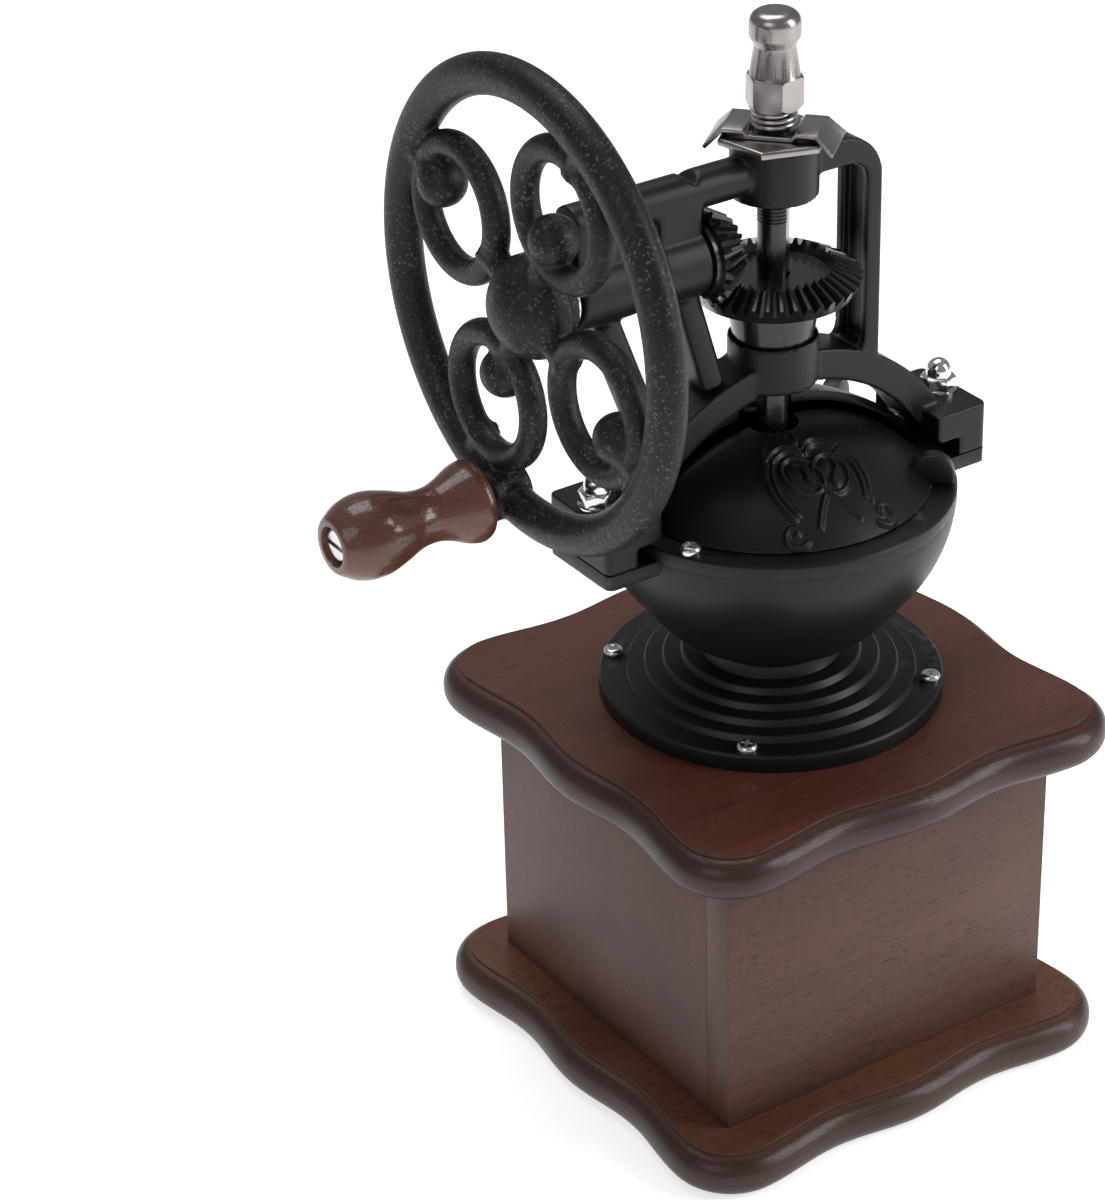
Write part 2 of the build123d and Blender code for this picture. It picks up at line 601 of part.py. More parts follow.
def bowl_ears():
    y = (-EAR_HALF_Y, EAR_HALF_Y)
    inside = BOWL_R - EAR_ROOT
    ears = []
    for side in (-1, 1):
        x = sorted((side * inside, side * EAR_X))
        ear = box(x, y, (RIM_Z - EAR_T, RIM_Z))
        tips = ear.edges().filter_by(Axis.Z).sort_by(Axis.X)
        ears.append(fillet(tips[-2:] if side > 0 else tips[:2], EAR_CORNER_R))
    return ears


def hopper_bowl():
    body = union([bowl_outside()] + bowl_ears())
    body -= bowl_inside()
    body -= rod(BURR_BORE_R, TOP_Z, TOP_Z + BURR_H)
    for x, y in flange_screw_places():
        body -= rod(FLANGE_SCREW_R, TOP_Z, TOP_Z + FLANGE_T, x, y)
    for side in (-1, 1):
        body -= rod(EAR_BOLT_R + SCREW_GAP, RIM_Z - EAR_T, RIM_Z, side * EAR_BOLT_X)
        body -= rod(BRIDGE_SCREW_R, TOP_Z, TOP_Z + BRIDGE_SCREW_BITE, side * BRIDGE_SCREW_X)
    for a in COVER_SCREW_ANGLES:
        x, y = on_circle(COVER_SCREW_PCR, a)
        body -= rod(COVER_SCREW_R, RIM_Z - COVER_SCREW_L, RIM_Z, x, y)
    return body


def on_circle(r, angle):
    return r * cos(radians(angle)), r * sin(radians(angle))


def flange_screws():
    screw = pan_screw(PAN_HEAD_R, PAN_HEAD_T, FLANGE_SCREW_R, FLANGE_SCREW_L)
    places = flange_screw_places()
    return [Pos(x, y, TOP_Z + FLANGE_T) * Rot(0, 0, 20 * i) * screw for i, (x, y) in enumerate(places)]


def ear_bolt_set():
    """Bolts through the ears, with a washer and an acorn nut on each foot."""
    bolts, washers, nuts = [], [], []
    under = RIM_Z - EAR_T
    z = FOOT_TOP_Z + EAR_WASHER_T
    for side in (-1, 1):
        place = Pos(side * EAR_BOLT_X, 0, 0)
        head = hex_rod(EAR_NUT_AF, under - EAR_BOLT_HEAD_T, under)
        bolts.append(place * (head + rod(EAR_BOLT_R, under, z + ACORN_H)))
        washer = rod(EAR_WASHER_R, FOOT_TOP_Z, z) - rod(EAR_BOLT_R, FOOT_TOP_Z, z)
        washers.append(place * washer)
        nuts.append(place * Pos(0, 0, z) * acorn_nut())
    return bolts, washers, nuts


def acorn_nut():
    """Domed nut standing on the origin."""
    corner_r = EAR_NUT_AF / sqrt(3)
    dome_r = EAR_BOLT_R + ACORN_DOME_WALL
    bevel = [
        (0, 0), (corner_r - 0.5, 0), (corner_r, 0.5), (corner_r, ACORN_H - 0.7),
        (corner_r - 0.9, ACORN_H), (0, ACORN_H),
    ]
    dome_z = ACORN_H + ACORN_DOME_UP
    dome = rod(dome_r, ACORN_H, dome_z) + Pos(0, 0, dome_z) * Sphere(dome_r)
    return (hex_rod(EAR_NUT_AF, 0, ACORN_H, 20) & turned(bevel)) + dome - rod(EAR_BOLT_R, -1, ACORN_H)


# ---------------------------------------------------------------- hopper cover and door
def thumb_tab(angle, r, z):
    """Half-round tab in a radial plane, its centre at radius r and height z."""
    disc = Pos(r, 0, z) * Rot(90, 0, 0) * Cylinder(TAB_R, TAB_T)
    upper = box((r - TAB_R, r + TAB_R), (-TAB_T, TAB_T), (z, z + TAB_R))
    foot = box((r - TAB_R, r + TAB_R), (-TAB_T / 2, TAB_T / 2), (DOOR_LOW_Z, z))
    return Rot(0, 0, angle) * ((disc & upper) + foot)


def shell(outer_r, thickness):
    centre = Pos(0, 0, DOME_CENTRE_Z)
    return centre * Sphere(outer_r) - centre * Sphere(outer_r - thickness)


def hopper_cover():
    ring = rod(BOWL_R, RIM_Z, RING_TOP_Z) - rod(RING_IN_R, RIM_Z, RING_TOP_Z)
    ring = chamfer(ring.edges().group_by(Axis.Z)[-1].sort_by(SortBy.LENGTH)[-1], 0.5)
    far = BOWL_R + 5
    rear = shell(COVER_OUT_R, COVER_T) & box((-far, far), (COVER_EDGE_Y, far), (RIM_Z, BOSS_BOTTOM_Z))
    rear &= rod(BOWL_R - 0.4, RING_TOP_Z - 1.5, BOSS_BOTTOM_Z)
    rear -= rod(COVER_NOTCH_R, RIM_Z, BOSS_BOTTOM_Z)
    tab = thumb_tab(COVER_TAB_ANGLE, BOWL_R - TAB_R, RING_TOP_Z + COVER_TAB_UP)
    tab -= Pos(0, 0, DOME_CENTRE_Z) * Sphere(COVER_IN_R + COVER_T / 2)
    cover = ring + rear + tab
    for a in COVER_SCREW_ANGLES:
        x, y = on_circle(COVER_SCREW_PCR, a)
        cover -= rod(COVER_SCREW_R, RIM_Z, RING_TOP_Z, x, y)
        cover -= rod(PAN_HEAD_R + HEAD_GAP, RING_TOP_Z, LOWER_BOSS_BOTTOM_Z, x, y)
    return cover


def cover_screws():
    screw = pan_screw(PAN_HEAD_R, PAN_HEAD_T, COVER_SCREW_R, COVER_SCREW_L + RING_T)
    return [Pos(*on_circle(COVER_SCREW_PCR, a), RING_TOP_Z) * screw for a in COVER_SCREW_ANGLES]


def hopper_door():
    reach = DOME_R * 2
    a = radians(DOOR_HALF_ANGLE)
    corner = (reach * sin(a), -reach * cos(a))
    wedge = Polyline((0, 0), corner, (reach, -reach), (-reach, -reach), (-corner[0], corner[1]), close=True)
    sector = Pos(0, 0, DOOR_LOW_Z) * extrude(make_face(wedge), DOME_R)
    door = (shell(DOME_R, DOOR_T) & sector) - rod(DOOR_NOTCH_R, DOOR_LOW_Z, BOSS_BOTTOM_Z)
    inside = Pos(0, 0, DOME_CENTRE_Z) * Sphere(DOME_R - DOOR_T)
    tab = thumb_tab(DOOR_TAB_ANGLE, DOOR_RIM_R - DOOR_TAB_IN, DOOR_LOW_Z + DOOR_TAB_UP)
    return door + (tab - inside)


# ---------------------------------------------------------------- yoke
def slab_y(face, half_y):
    """Extrude a face drawn on the XZ plane to both sides of it."""
    return extrude(Plane.XZ * face, half_y, both=True)


def arch():
    outer = Circle(ARCH_R + ARCH_T) - Circle(ARCH_R)
    keep = Pos(0, ARCH_R) * Rectangle(2 * EAR_X, 2 * (ARCH_R - (RIM_Z - ARCH_CENTRE_Z)))
    return slab_y(Pos(0, ARCH_CENTRE_Z) * (outer & keep), YOKE_HALF_Y)


def right_frame():
    """Grooved leg with its top bar and sill, round a tall window."""
    top, low = BOSS_TOP_Z - LEG_BAR_DROP, SILL_TOP_Z - SILL_T
    outside = Pos(LEG_X / 2, (top + low) / 2) * Rectangle(LEG_X, top - low)
    outside = fillet(outside.vertices().sort_by(Axis.X)[-2:].sort_by(Axis.Y)[-1], LEG_CORNER_R)
    w = LEG_X - LEG_T
    window_top = top - LEG_BAR_T
    window = Pos(w / 2, (window_top + SILL_TOP_Z) / 2) * Rectangle(w, window_top - SILL_TOP_Z)
    window = fillet(window.vertices().sort_by(Axis.X)[-2:], LEG_CORNER_R - LEG_BAR_T)
    frame = slab_y(outside - window, YOKE_HALF_Y)
    groove_y = YOKE_HALF_Y - LEG_FLANGE_T
    groove_z = (SILL_TOP_Z + GROOVE_END[0], window_top - GROOVE_END[1])
    return frame - box((w - 1, LEG_X - LEG_RIB_T), (-groove_y, groove_y), groove_z)


def foot(side):
    x = sorted((side * (EAR_X - FOOT_L), side * EAR_X))
    block = box(x, (-EAR_HALF_Y, EAR_HALF_Y), (RIM_Z, FOOT_TOP_Z))
    tips = block.edges().filter_by(Axis.Z).sort_by(Axis.X)
    block = fillet(tips[-2:] if side > 0 else tips[:2], EAR_CORNER_R)
    x = sorted((side * (EAR_X - FOOT_L - 1), side * (EAR_X - FOOT_STEP_L)))
    return block - box(x, (-EAR_HALF_Y, EAR_HALF_Y), (RIM_Z, RIM_Z + FOOT_STEP_H))


def strut(barrel_x, place):
    """Leaning rounded bar from a barrel down to the arch."""
    top_z = CRANK_Z - STRUT_DROP
    run, drop = place[1] - place[0], top_z - (RIM_Z + place[2])
    length = sqrt(run**2 + drop**2)
    section = RectangleRounded(STRUT_W, 2 * STRUT_HALF_Y, STRUT_CORNER_R)
    lean = degrees(atan2(run, drop))
    return Pos(barrel_x + place[0], 0, top_z) * Rot(0, 180 - lean, 0) * extrude(section, length)


def barrels():
    parts = []
    inner = (INNER_BARREL_X - INNER_BARREL_L, INNER_BARREL_X)
    outer = (OUTER_BARREL_X, OUTER_BARREL_X + OUTER_BARREL_L)
    for x0, x1 in (inner, outer):
        barrel = rod_x(BARREL_R, x0, x1, 0, CRANK_Z)
        parts.append(chamfer(barrel.edges().filter_by(GeomType.CIRCLE), 0.6))
        lug_x = (x0 + LUG_INSET, x1 - LUG_INSET)
        parts.append(box(lug_x, (-LUG_HALF_Y, LUG_HALF_Y), (CRANK_Z, ARM_Z)))
    return parts


def yoke():
    lower = rod(LOWER_BOSS_R, LOWER_BOSS_BOTTOM_Z, LOWER_BOSS_TOP_Z)
    upper = rod(BOSS_R, BOSS_BOTTOM_Z, BOSS_TOP_Z)
    arm = rod_x(ARM_R, OUTER_BARREL_X + ARM_SHORT, 0, 0, ARM_Z)
    body = union([upper, lower, arch(), right_frame(), arm] + barrels() + [foot(-1), foot(1)])
    body += [strut(INNER_BARREL_X, INNER_STRUT), strut(OUTER_BARREL_X, OUTER_STRUT)]
    notch = Rot(0, 45, 0) * Box(NOTCH_D * 2, 4 * ARM_R, NOTCH_D * 2)
    body -= Pos(INNER_BARREL_X - NOTCH_IN, 0, ARM_Z + ARM_R) * notch
    body -= Pos(0, 0, DOME_CENTRE_Z) * Sphere(COVER_OUT_R + DOME_CLEAR)
    body -= rod(BOWL_R + DOME_CLEAR, RIM_Z - 1, RIM_Z + FOOT_STEP_H)
    body -= rod_y(ARCH_R, -YOKE_HALF_Y, YOKE_HALF_Y, 0, ARCH_CENTRE_Z) & room_under_boss()
    body -= rod_x(PINION_R + GEAR_MODULE + MOVE_GAP, INNER_BARREL_X, -BOSS_R - 1, 0, CRANK_Z)
    body -= rod(SPINDLE_R + RUN_GAP, RIM_Z, BOSS_TOP_Z)
    body -= rod(CUP_R, CUP_FLOOR_Z, LOWER_BOSS_TOP_Z + 1)
    body -= rod_x(SHAFT_R + RUN_GAP, OUTER_BARREL_X - 1, INNER_BARREL_X + 1, 0, CRANK_Z)
    for side in (-1, 1):
        body -= rod(EAR_BOLT_R + SCREW_GAP, RIM_Z, FOOT_TOP_Z, side * EAR_BOLT_X)
        body -= rod(EAR_WASHER_R + MOVE_GAP, FOOT_TOP_Z, FOOT_TOP_Z + BOSS_R, side * EAR_BOLT_X)
    return body


def room_under_boss():
    """The part of the arch's round that the sill must leave open."""
    return box((-LEG_X, LEG_X), (-EAR_X, EAR_X), (RIM_Z, LOWER_BOSS_BOTTOM_Z))


def thrust_washer():
    z = (CUP_FLOOR_Z, CUP_FLOOR_Z + THRUST_T)
    return rod(GEAR_HUB_R, *z) - rod(SPINDLE_R + THRUST_BORE_GAP, *z)


# ---------------------------------------------------------------- bevel gears
def tooth_space(teeth, cone):
    """Space between two teeth as (sideways, outward) points on the back cone."""
    m = GEAR_MODULE
    pitch_r = m * teeth / 2 / cos(cone)
    count = teeth / cos(cone)
    base_r = pitch_r * cos(radians(TOOTH_PRESSURE))
    half_tooth = pi / (2 * count) - TOOTH_SLACK / (2 * pitch_r) / 2

    def half_space(r):
        roll = acos(min(1.0, base_r / r))
        start = tan(radians(TOOTH_PRESSURE)) - radians(TOOTH_PRESSURE)
        return pi / count - (half_tooth + start - (tan(roll) - roll))

    heights = [-DEDENDUM * m, -0.62 * m, 0.0, 0.5 * m, 1.0 * m, 1.45 * m]
    right = []
    for h in heights:
        r = pitch_r + h
        a = half_space(max(r, base_r))
        right.append((r * sin(a), r * cos(a) - pitch_r))
    return right


def space_cutter(teeth, cone):
    """Tapered cutter for one tooth space of a gear whose apex is the origin, gear below it."""
    right = tooth_space(teeth, cone)
    outline = right + [(-s, h) for s, h in reversed(right)]
    pitch = Vector(CONE_LENGTH * sin(cone), 0, -CONE_LENGTH * cos(cone))
    outward = Vector(cos(cone), 0, sin(cone))
    faces = []
    for share in (1.2, INNER_SHARE * 0.6):
        points = [(pitch + outward * h + Vector(0, s, 0)) * share for s, h in outline]
        faces.append(make_face(Polyline(*points, close=True)))
    return loft(faces, ruled=True)


def toothed(blank, teeth, cone, first_angle):
    """Cut the tooth spaces of a bevel gear; one space is centred at first_angle."""
    cutter = space_cutter(teeth, cone)
    step = 360 / teeth
    cutters = [Rot(0, 0, first_angle + step * i) * cutter for i in range(teeth)]
    return blank - cutters


def cone_point(cone, height, share):
    """(radius, height) of a point at a height over the pitch cone, apex at zero."""
    r = (CONE_LENGTH * sin(cone) + height * cos(cone)) * share
    z = (-CONE_LENGTH * cos(cone) + height * sin(cone)) * share
    return r, z


def bevel_gear():
    m = GEAR_MODULE
    tip, tip_in = (cone_point(GEAR_CONE, ADDENDUM * m, s) for s in (1, INNER_SHARE))
    root = cone_point(GEAR_CONE, -(DEDENDUM * m + GEAR_BACK_T), 1)
    web_z = tip_in[1] - GEAR_WEB_DROP
    bottom = GEAR_BOTTOM_Z - CRANK_Z
    under = root[1]
    blank = turned([
        (0, bottom), (GEAR_HUB_R, bottom), (GEAR_HUB_R + GEAR_HUB_FLARE, under), root, tip,
        tip_in, (tip_in[0] - 1.2, web_z), (0, web_z),
    ])
    gear = toothed(blank, GEAR_TEETH, GEAR_CONE, 180)
    gear = Pos(0, 0, CRANK_Z) * gear - rod(SPINDLE_R, GEAR_BOTTOM_Z, CRANK_Z)
    return gear - rod_y(SET_SCREW_R, SPINDLE_R - 0.5, GEAR_HUB_R + GEAR_HUB_FLARE, 0, set_screw_z())


def set_screw_z():
    return GEAR_BOTTOM_Z + GEAR_SCREW_UP


def gear_set_screw():
    screw = rod_y(SET_SCREW_R, SPINDLE_R, GEAR_HUB_R, 0, set_screw_z())
    socket = Pos(0, GEAR_HUB_R, set_screw_z()) * Rot(90, 0, 0) * hex_rod(SET_SOCKET_AF, 0, SET_SOCKET_D)
    return screw - socket


def bevel_pinion():
    m = GEAR_MODULE
    tip, tip_in = (cone_point(PINION_CONE, ADDENDUM * m, s) for s in (1, INNER_SHARE))
    root = cone_point(PINION_CONE, -DEDENDUM * m, 1)
    back = INNER_BARREL_X + SEAT_GAP
    back_r = SHAFT_R + PINION_BACK_WALL
    nose_z = tip_in[1] + 0.4
    blank = turned([
        (0, back), (back_r, back), (back_r, root[1]), root, tip,
        tip_in, (tip_in[0] - PINION_NOSE, nose_z), (0, nose_z),
    ])
    # A pinion tooth points down into the gear, so half a tooth pitch from a space.
    gear = toothed(blank, PINION_TEETH, PINION_CONE, 180 / PINION_TEETH)
    gear = Pos(0, 0, CRANK_Z) * Rot(0, 90, 0) * gear
    return gear - rod_x(SHAFT_R, -CONE_LENGTH * 2, 0, 0, CRANK_Z) - pinion_key()


def pinion_key():
    x_mid = -GEAR_R + KEY_L * 0.7
    z = (CRANK_Z + SHAFT_R - KEY_DEPTH[0], CRANK_Z + SHAFT_R + KEY_DEPTH[1])
    return box((x_mid - KEY_L / 2, x_mid + KEY_L / 2), (-KEY_W / 2, KEY_W / 2), z)


# ---------------------------------------------------------------- burrs and lower bearing
def burr_grooves(r_top, r_bottom, z_top, z_bottom, sign):
    """Leaning grooves round a cone, as cutters."""
    length = (z_top - z_bottom) * 1.3
    lean = degrees(atan2(r_bottom - r_top, z_top - z_bottom))
    mid_r, mid_z = (r_top + r_bottom) / 2, (z_top + z_bottom) / 2
    groove = Rot(0, -lean, 0) * Rot(sign * BURR_GROOVE_TILT, 0, 0)
    groove = Pos(mid_r, 0, mid_z) * groove * Box(2 * BURR_GROOVE_D, BURR_GROOVE_W, length)
    return [Rot(0, 0, i * 360 / BURR_TEETH) * groove for i in range(BURR_TEETH)]


def outer_burr():
    z0, z1 = TOP_Z, TOP_Z + BURR_H
    ring = turned([
        (OUTER_BURR_LOW_R, z0), (BURR_BORE_R, z0), (BURR_BORE_R, z1), (OUTER_BURR_TOP_R, z1),
    ])
    return ring - burr_grooves(OUTER_BURR_TOP_R, OUTER_BURR_LOW_R, z1, z0, 1)


def inner_burr():
    z0, z1 = TOP_Z, TOP_Z + INNER_BURR_H
    low_r = OUTER_BURR_LOW_R - BURR_SLIT
    cone = turned([(0, z0), (low_r, z0), (INNER_BURR_TOP_R, z1), (0, z1)])
    cone -= burr_grooves(INNER_BURR_TOP_R, low_r, z1, z0, -1)
    return cone - rod(SPINDLE_R, z0, z1)


def burr_nut():
    z = (TOP_Z - BURR_NUT_T, TOP_Z)
    return hex_rod(2 * (SPINDLE_R + BURR_NUT_WALL), *z) - rod(SPINDLE_R, *z)


def burr_bridge():
    low = BRIDGE_TOP_Z - BRIDGE_T
    bar = box((-BRIDGE_HALF_L, BRIDGE_HALF_L), (-BRIDGE_W / 2, BRIDGE_W / 2), (low, BRIDGE_TOP_Z))
    bar &= rod(BRIDGE_HALF_L, low, BRIDGE_TOP_Z)
    boss = rod(BRIDGE_BOSS_R, BRIDGE_TOP_Z - BRIDGE_BOSS_H, BRIDGE_TOP_Z)
    posts = [rod(BRIDGE_W / 2 - 1.2, low, TOP_Z, s * BRIDGE_SCREW_X) for s in (-1, 1)]
    bridge = union([bar, boss] + posts)
    for side in (-1, 1):
        bridge -= rod(BRIDGE_SCREW_R, low, TOP_Z, side * BRIDGE_SCREW_X)
    return bridge - rod(SPINDLE_R + RUN_GAP, low - BRIDGE_BOSS_H, BRIDGE_TOP_Z)


def bridge_screws():
    low = BRIDGE_TOP_Z - BRIDGE_T
    length = TOP_Z + BRIDGE_SCREW_BITE - low
    screw = Rot(180, 0, 0) * pan_screw(BRIDGE_HEAD_R, BRIDGE_HEAD_T, BRIDGE_SCREW_R, length)
    return [Pos(side * BRIDGE_SCREW_X, 0, low) * screw for side in (-1, 1)]


def spindle():
    shaft = rod(SPINDLE_R, SPINDLE_BOTTOM_Z, SPINDLE_TOP_Z)
    shaft = chamfer(shaft.edges().filter_by(GeomType.CIRCLE), 0.5)
    gear_top = CRANK_Z - PINION_R + 2.5
    flat = box((SPINDLE_FLAT, SPINDLE_R * 2), (-SPINDLE_R, SPINDLE_R), (gear_top, CAP_Z))
    return shaft - Rot(0, 0, TURN_ANGLE) * flat


# ---------------------------------------------------------------- parts on top of the yoke
def adjusting_nut():
    plate = hex_rod(ADJ_NUT_AF, BOSS_TOP_Z, ADJ_NUT_TOP_Z, TURN_ANGLE + 30)
    return chamfer(plate.edges().group_by(Axis.Z)[-1], 0.4) - rod(SPINDLE_R, BOSS_TOP_Z, ADJ_NUT_TOP_Z)


def lock_plate():
    """Bent sheet: pressed-down middle, raised shoulders and two wings that hang over the nut."""
    wing_x, wing_z = LOCK_FLAT + LOCK_WING, LOCK_CHANNEL_D - LOCK_WING_DROP
    half = [
        (LOCK_CHANNEL, 0), (LOCK_CHANNEL + LOCK_CHANNEL_D, LOCK_CHANNEL_D),
        (LOCK_FLAT, LOCK_CHANNEL_D), (wing_x, wing_z),
    ]
    under = Polyline(*[(-x, z) for x, z in reversed(half)], *half)
    section = make_face(offset(under, SHEET_T, side=Side.LEFT, kind=Kind.INTERSECTION))
    tip, tip_y, mid_y = wing_x + SHEET_T, LOCK_WING_DEPTH / 2, LOCK_DEPTH / 2
    right = [(LOCK_FLAT, mid_y), (tip, tip_y), (tip, -tip_y), (LOCK_FLAT, -mid_y)]
    plan = right + [(-x, -y) for x, y in right]
    outline = extrude(make_face(Polyline(*plan, close=True)), LOCK_WING_DROP * 2)
    sheet = slab_y(section, tip_y) & Pos(0, 0, wing_z - SHEET_T) * outline
    level = (-SHEET_T, 2 * SHEET_T)
    hole = rod(SPINDLE_R + RUN_GAP, *level)
    hole &= box((-SPINDLE_R * 2, SPINDLE_FLAT + SCREW_GAP), (-SPINDLE_R * 2, SPINDLE_R * 2), level)
    return Pos(0, 0, LOCK_Z) * Rot(0, 0, TURN_ANGLE) * (sheet - hole)


def lock_spring():
    wire_r = SPRING_WIRE / 2
    coil_r = SPRING_R - wire_r
    rise = SPRING_L - SPRING_WIRE
    path = Helix(pitch=rise / SPRING_TURNS, height=rise, radius=coil_r)
    start = path @ 0
    section = Plane(origin=start, z_dir=path % 0) * Circle(wire_r)
    return Pos(0, 0, SPRING_Z + wire_r) * sweep(section, path=path, is_frenet=True)


def cap_nut():
    """Hex nut with a tapered neck and a ball on top."""
    z_hex, z_cone = CAP_Z + HEX_H, CAP_Z + HEX_H + CONE_H
    top = CAP_Z + CAP_H
    cone_top_r, ball_r = SPINDLE_R + CONE_TOP_WALL, SPINDLE_R + BALL_WALL
    hexagon = hex_rod(2 * HEX_R * sqrt(0.75), CAP_Z, z_hex, HEX_TURN)
    bevel = turned([
        (0, CAP_Z), (HEX_R - 1.0, CAP_Z), (HEX_R, CAP_Z + 1.2), (HEX_R, z_hex - 0.5),
        (HEX_R - 0.5, z_hex), (0, z_hex),
    ])
    neck = turned([
        (0, z_hex), (SPINDLE_R + CONE_LOW_WALL, z_hex), (cone_top_r, z_cone),
        (cone_top_r, z_cone + 1), (0, z_cone + 1),
    ])
    ball_low = z_cone + BALL_NECK_H
    belt = (ball_low + BALL_BELT[0], ball_low + BALL_BELT[1])
    head = turned([(0, ball_low), (cone_top_r, ball_low), (ball_r, belt[0]), (ball_r, belt[1]), (0, belt[1])])
    crown = rod(ball_r, belt[1], top)
    crown = fillet(crown.edges().group_by(Axis.Z)[-1], (top - belt[1]) * 0.92)
    bore = rod(SPINDLE_R, CAP_Z, SPINDLE_TOP_Z)
    return (hexagon & bevel) + neck + head + crown - bore


# ---------------------------------------------------------------- crank, wheel and handle
def crank_shaft():
    shaft = rod_x(SHAFT_R, SHAFT_END_X, SHAFT_IN_X, 0, CRANK_Z)
    shaft = chamfer(shaft.edges().filter_by(GeomType.CIRCLE), 0.5)
    return shaft - pinion_key()


def wheel_place(r, angle):
    """Position in the wheel's middle plane."""
    return Pos(WHEEL_X, r * cos(radians(angle)), CRANK_Z + r * sin(radians(angle)))


def wheel_loop(angle, ball_side):
    """One ring of the wheel with the ball that grows into it."""
    ring = wheel_place(LOOP_AT_R, angle) * round_ring(LOOP_R, LOOP_BAR_R, LOOP_BAR_R)
    ball_r = LOOP_AT_R + ball_side * BALL_OFFSET
    neck_to = LOOP_AT_R + ball_side * LOOP_R
    return [
        ring,
        wheel_place(ball_r, angle) * faceted_ball(WHEEL_BALL_R),
        radial_bar(angle, LOOP_AT_R + LOOP_R, RIM_R, LOOP_PAD_R),
        radial_bar(angle, HUB_R - LOOP_PAD_R, LOOP_AT_R - LOOP_R, LOOP_PAD_R),
        radial_bar(angle, ball_r, neck_to, BALL_NECK_R),
    ]


def round_ring(mid_r, half_axial, half_radial):
    """Ring about X whose bar has a sixteen-sided, nearly oval section."""
    points = []
    for i in range(BAR_FACETS):
        a = 2 * pi * (i + 0.5) / BAR_FACETS
        points.append((half_axial * cos(a), mid_r + half_radial * sin(a)))
    return turned_x(points)


def faceted_ball(r):
    """Ball turned about X from straight facets."""
    points = []
    for i in range(BAR_FACETS // 2 + 1):
        a = 2 * pi * i / BAR_FACETS
        points.append((r * cos(a), r * sin(a)))
    points[0], points[-1] = (r, 0), (-r, 0)
    return turned_x(points)


def radial_bar(angle, r0, r1, bar_r):
    """Short bar along a radius of the wheel, eight-sided."""
    section = RegularPolygon(bar_r, 8, major_radius=False, rotation=22.5)
    bar = Pos(0, 0, min(r0, r1)) * extrude(section, abs(r1 - r0))
    return Pos(WHEEL_X, 0, CRANK_Z) * Rot(angle - 90, 0, 0) * bar


def hub():
    depth = WHEEL_X - HUB_FRONT_X
    back = WHEEL_X + HUB_STEP
    dome_r = (HUB_R**2 + depth**2) / (2 * depth)
    ball = Pos(HUB_FRONT_X + dome_r, 0, CRANK_Z) * Sphere(dome_r)
    front = ball & rod_x(HUB_R, HUB_FRONT_X - 1, WHEEL_X, 0, CRANK_Z)
    return [front, rod_x(HUB_R, WHEEL_X, back, 0, CRANK_Z), rod_x(HUB_BACK_R, back, HUB_BACK_X, 0, CRANK_Z)]


def wheel():
    pieces = [wheel_place(0, 0) * round_ring(RIM_R, RIM_D / 2, RIM_W / 2)] + hub()
    for angle, side in zip(LOOP_ANGLES, BALL_SIDE):
        pieces += wheel_loop(angle, side)
    pieces.append(rod_x(HANDLE_BOSS_R, *HANDLE_BOSS_X, HANDLE_Y, HANDLE_Z))
    body = pieces[0].fuse(*pieces[1:])
    body -= rod_x(SHAFT_R, SHAFT_END_X, HUB_BACK_X + 1, 0, CRANK_Z)
    body -= rod_x(BOLT_R, HANDLE_BOSS_X[0] - 1, HANDLE_BOSS_X[1] - HANDLE_BLIND, HANDLE_Y, HANDLE_Z)
    return body - rod_y(SET_SCREW_R, SHAFT_R - 0.5, HUB_BACK_R + 1, wheel_screw_x(), CRANK_Z)


def wheel_screw_x():
    return (WHEEL_X + HUB_STEP + HUB_BACK_X) / 2


def wheel_set_screw():
    y_out = HUB_BACK_R - SET_SCREW_SUNK
    screw = rod_y(SET_SCREW_R, SHAFT_R, y_out, wheel_screw_x(), CRANK_Z)
    socket = Pos(wheel_screw_x(), y_out, CRANK_Z) * Rot(90, 0, 0) * hex_rod(SET_SOCKET_AF, 0, SET_SOCKET_D)
    return screw - socket


def wheel_washer():
    x = (HUB_BACK_X, HUB_BACK_X + WASHER_T)
    return rod_x(SHAFT_R + WHEEL_WASHER_WALL, *x, 0, CRANK_Z) - rod_x(SHAFT_R, *x, 0, CRANK_Z)


def handle_washer():
    x = (HANDLE_BOSS_X[0] - WASHER_T, HANDLE_BOSS_X[0])
    return rod_x(HANDLE_WASHER_R, *x, HANDLE_Y, HANDLE_Z) - rod_x(BOLT_R, *x, HANDLE_Y, HANDLE_Z)


def grip_span():
    x1 = HANDLE_BOSS_X[0] - WASHER_T - MOVE_GAP
    return x1 - GRIP_L, x1


def bolt_seat_x():
    """Place of the face under the bolt head, sunk in the grip's end."""
    return grip_span()[0] + BOLT_HEAD_T + BOLT_SUNK


def handle_bolt():
    seat = bolt_seat_x()
    shank = rod_x(BOLT_R, seat, HANDLE_BOSS_X[1] - HANDLE_BLIND, HANDLE_Y, HANDLE_Z)
    head = rod_x(BOLT_HEAD_R, seat - BOLT_HEAD_T, seat, HANDLE_Y, HANDLE_Z)
    head = fillet(head.edges().group_by(Axis.X)[0], BOLT_HEAD_T * 0.5)
    slot_x = (seat - BOLT_HEAD_T, seat - BOLT_HEAD_T * 0.55)
    slot = box(slot_x, (HANDLE_Y - BOLT_HEAD_R, HANDLE_Y + BOLT_HEAD_R), (HANDLE_Z - 0.6, HANDLE_Z + 0.6))
    return shank + head - slot


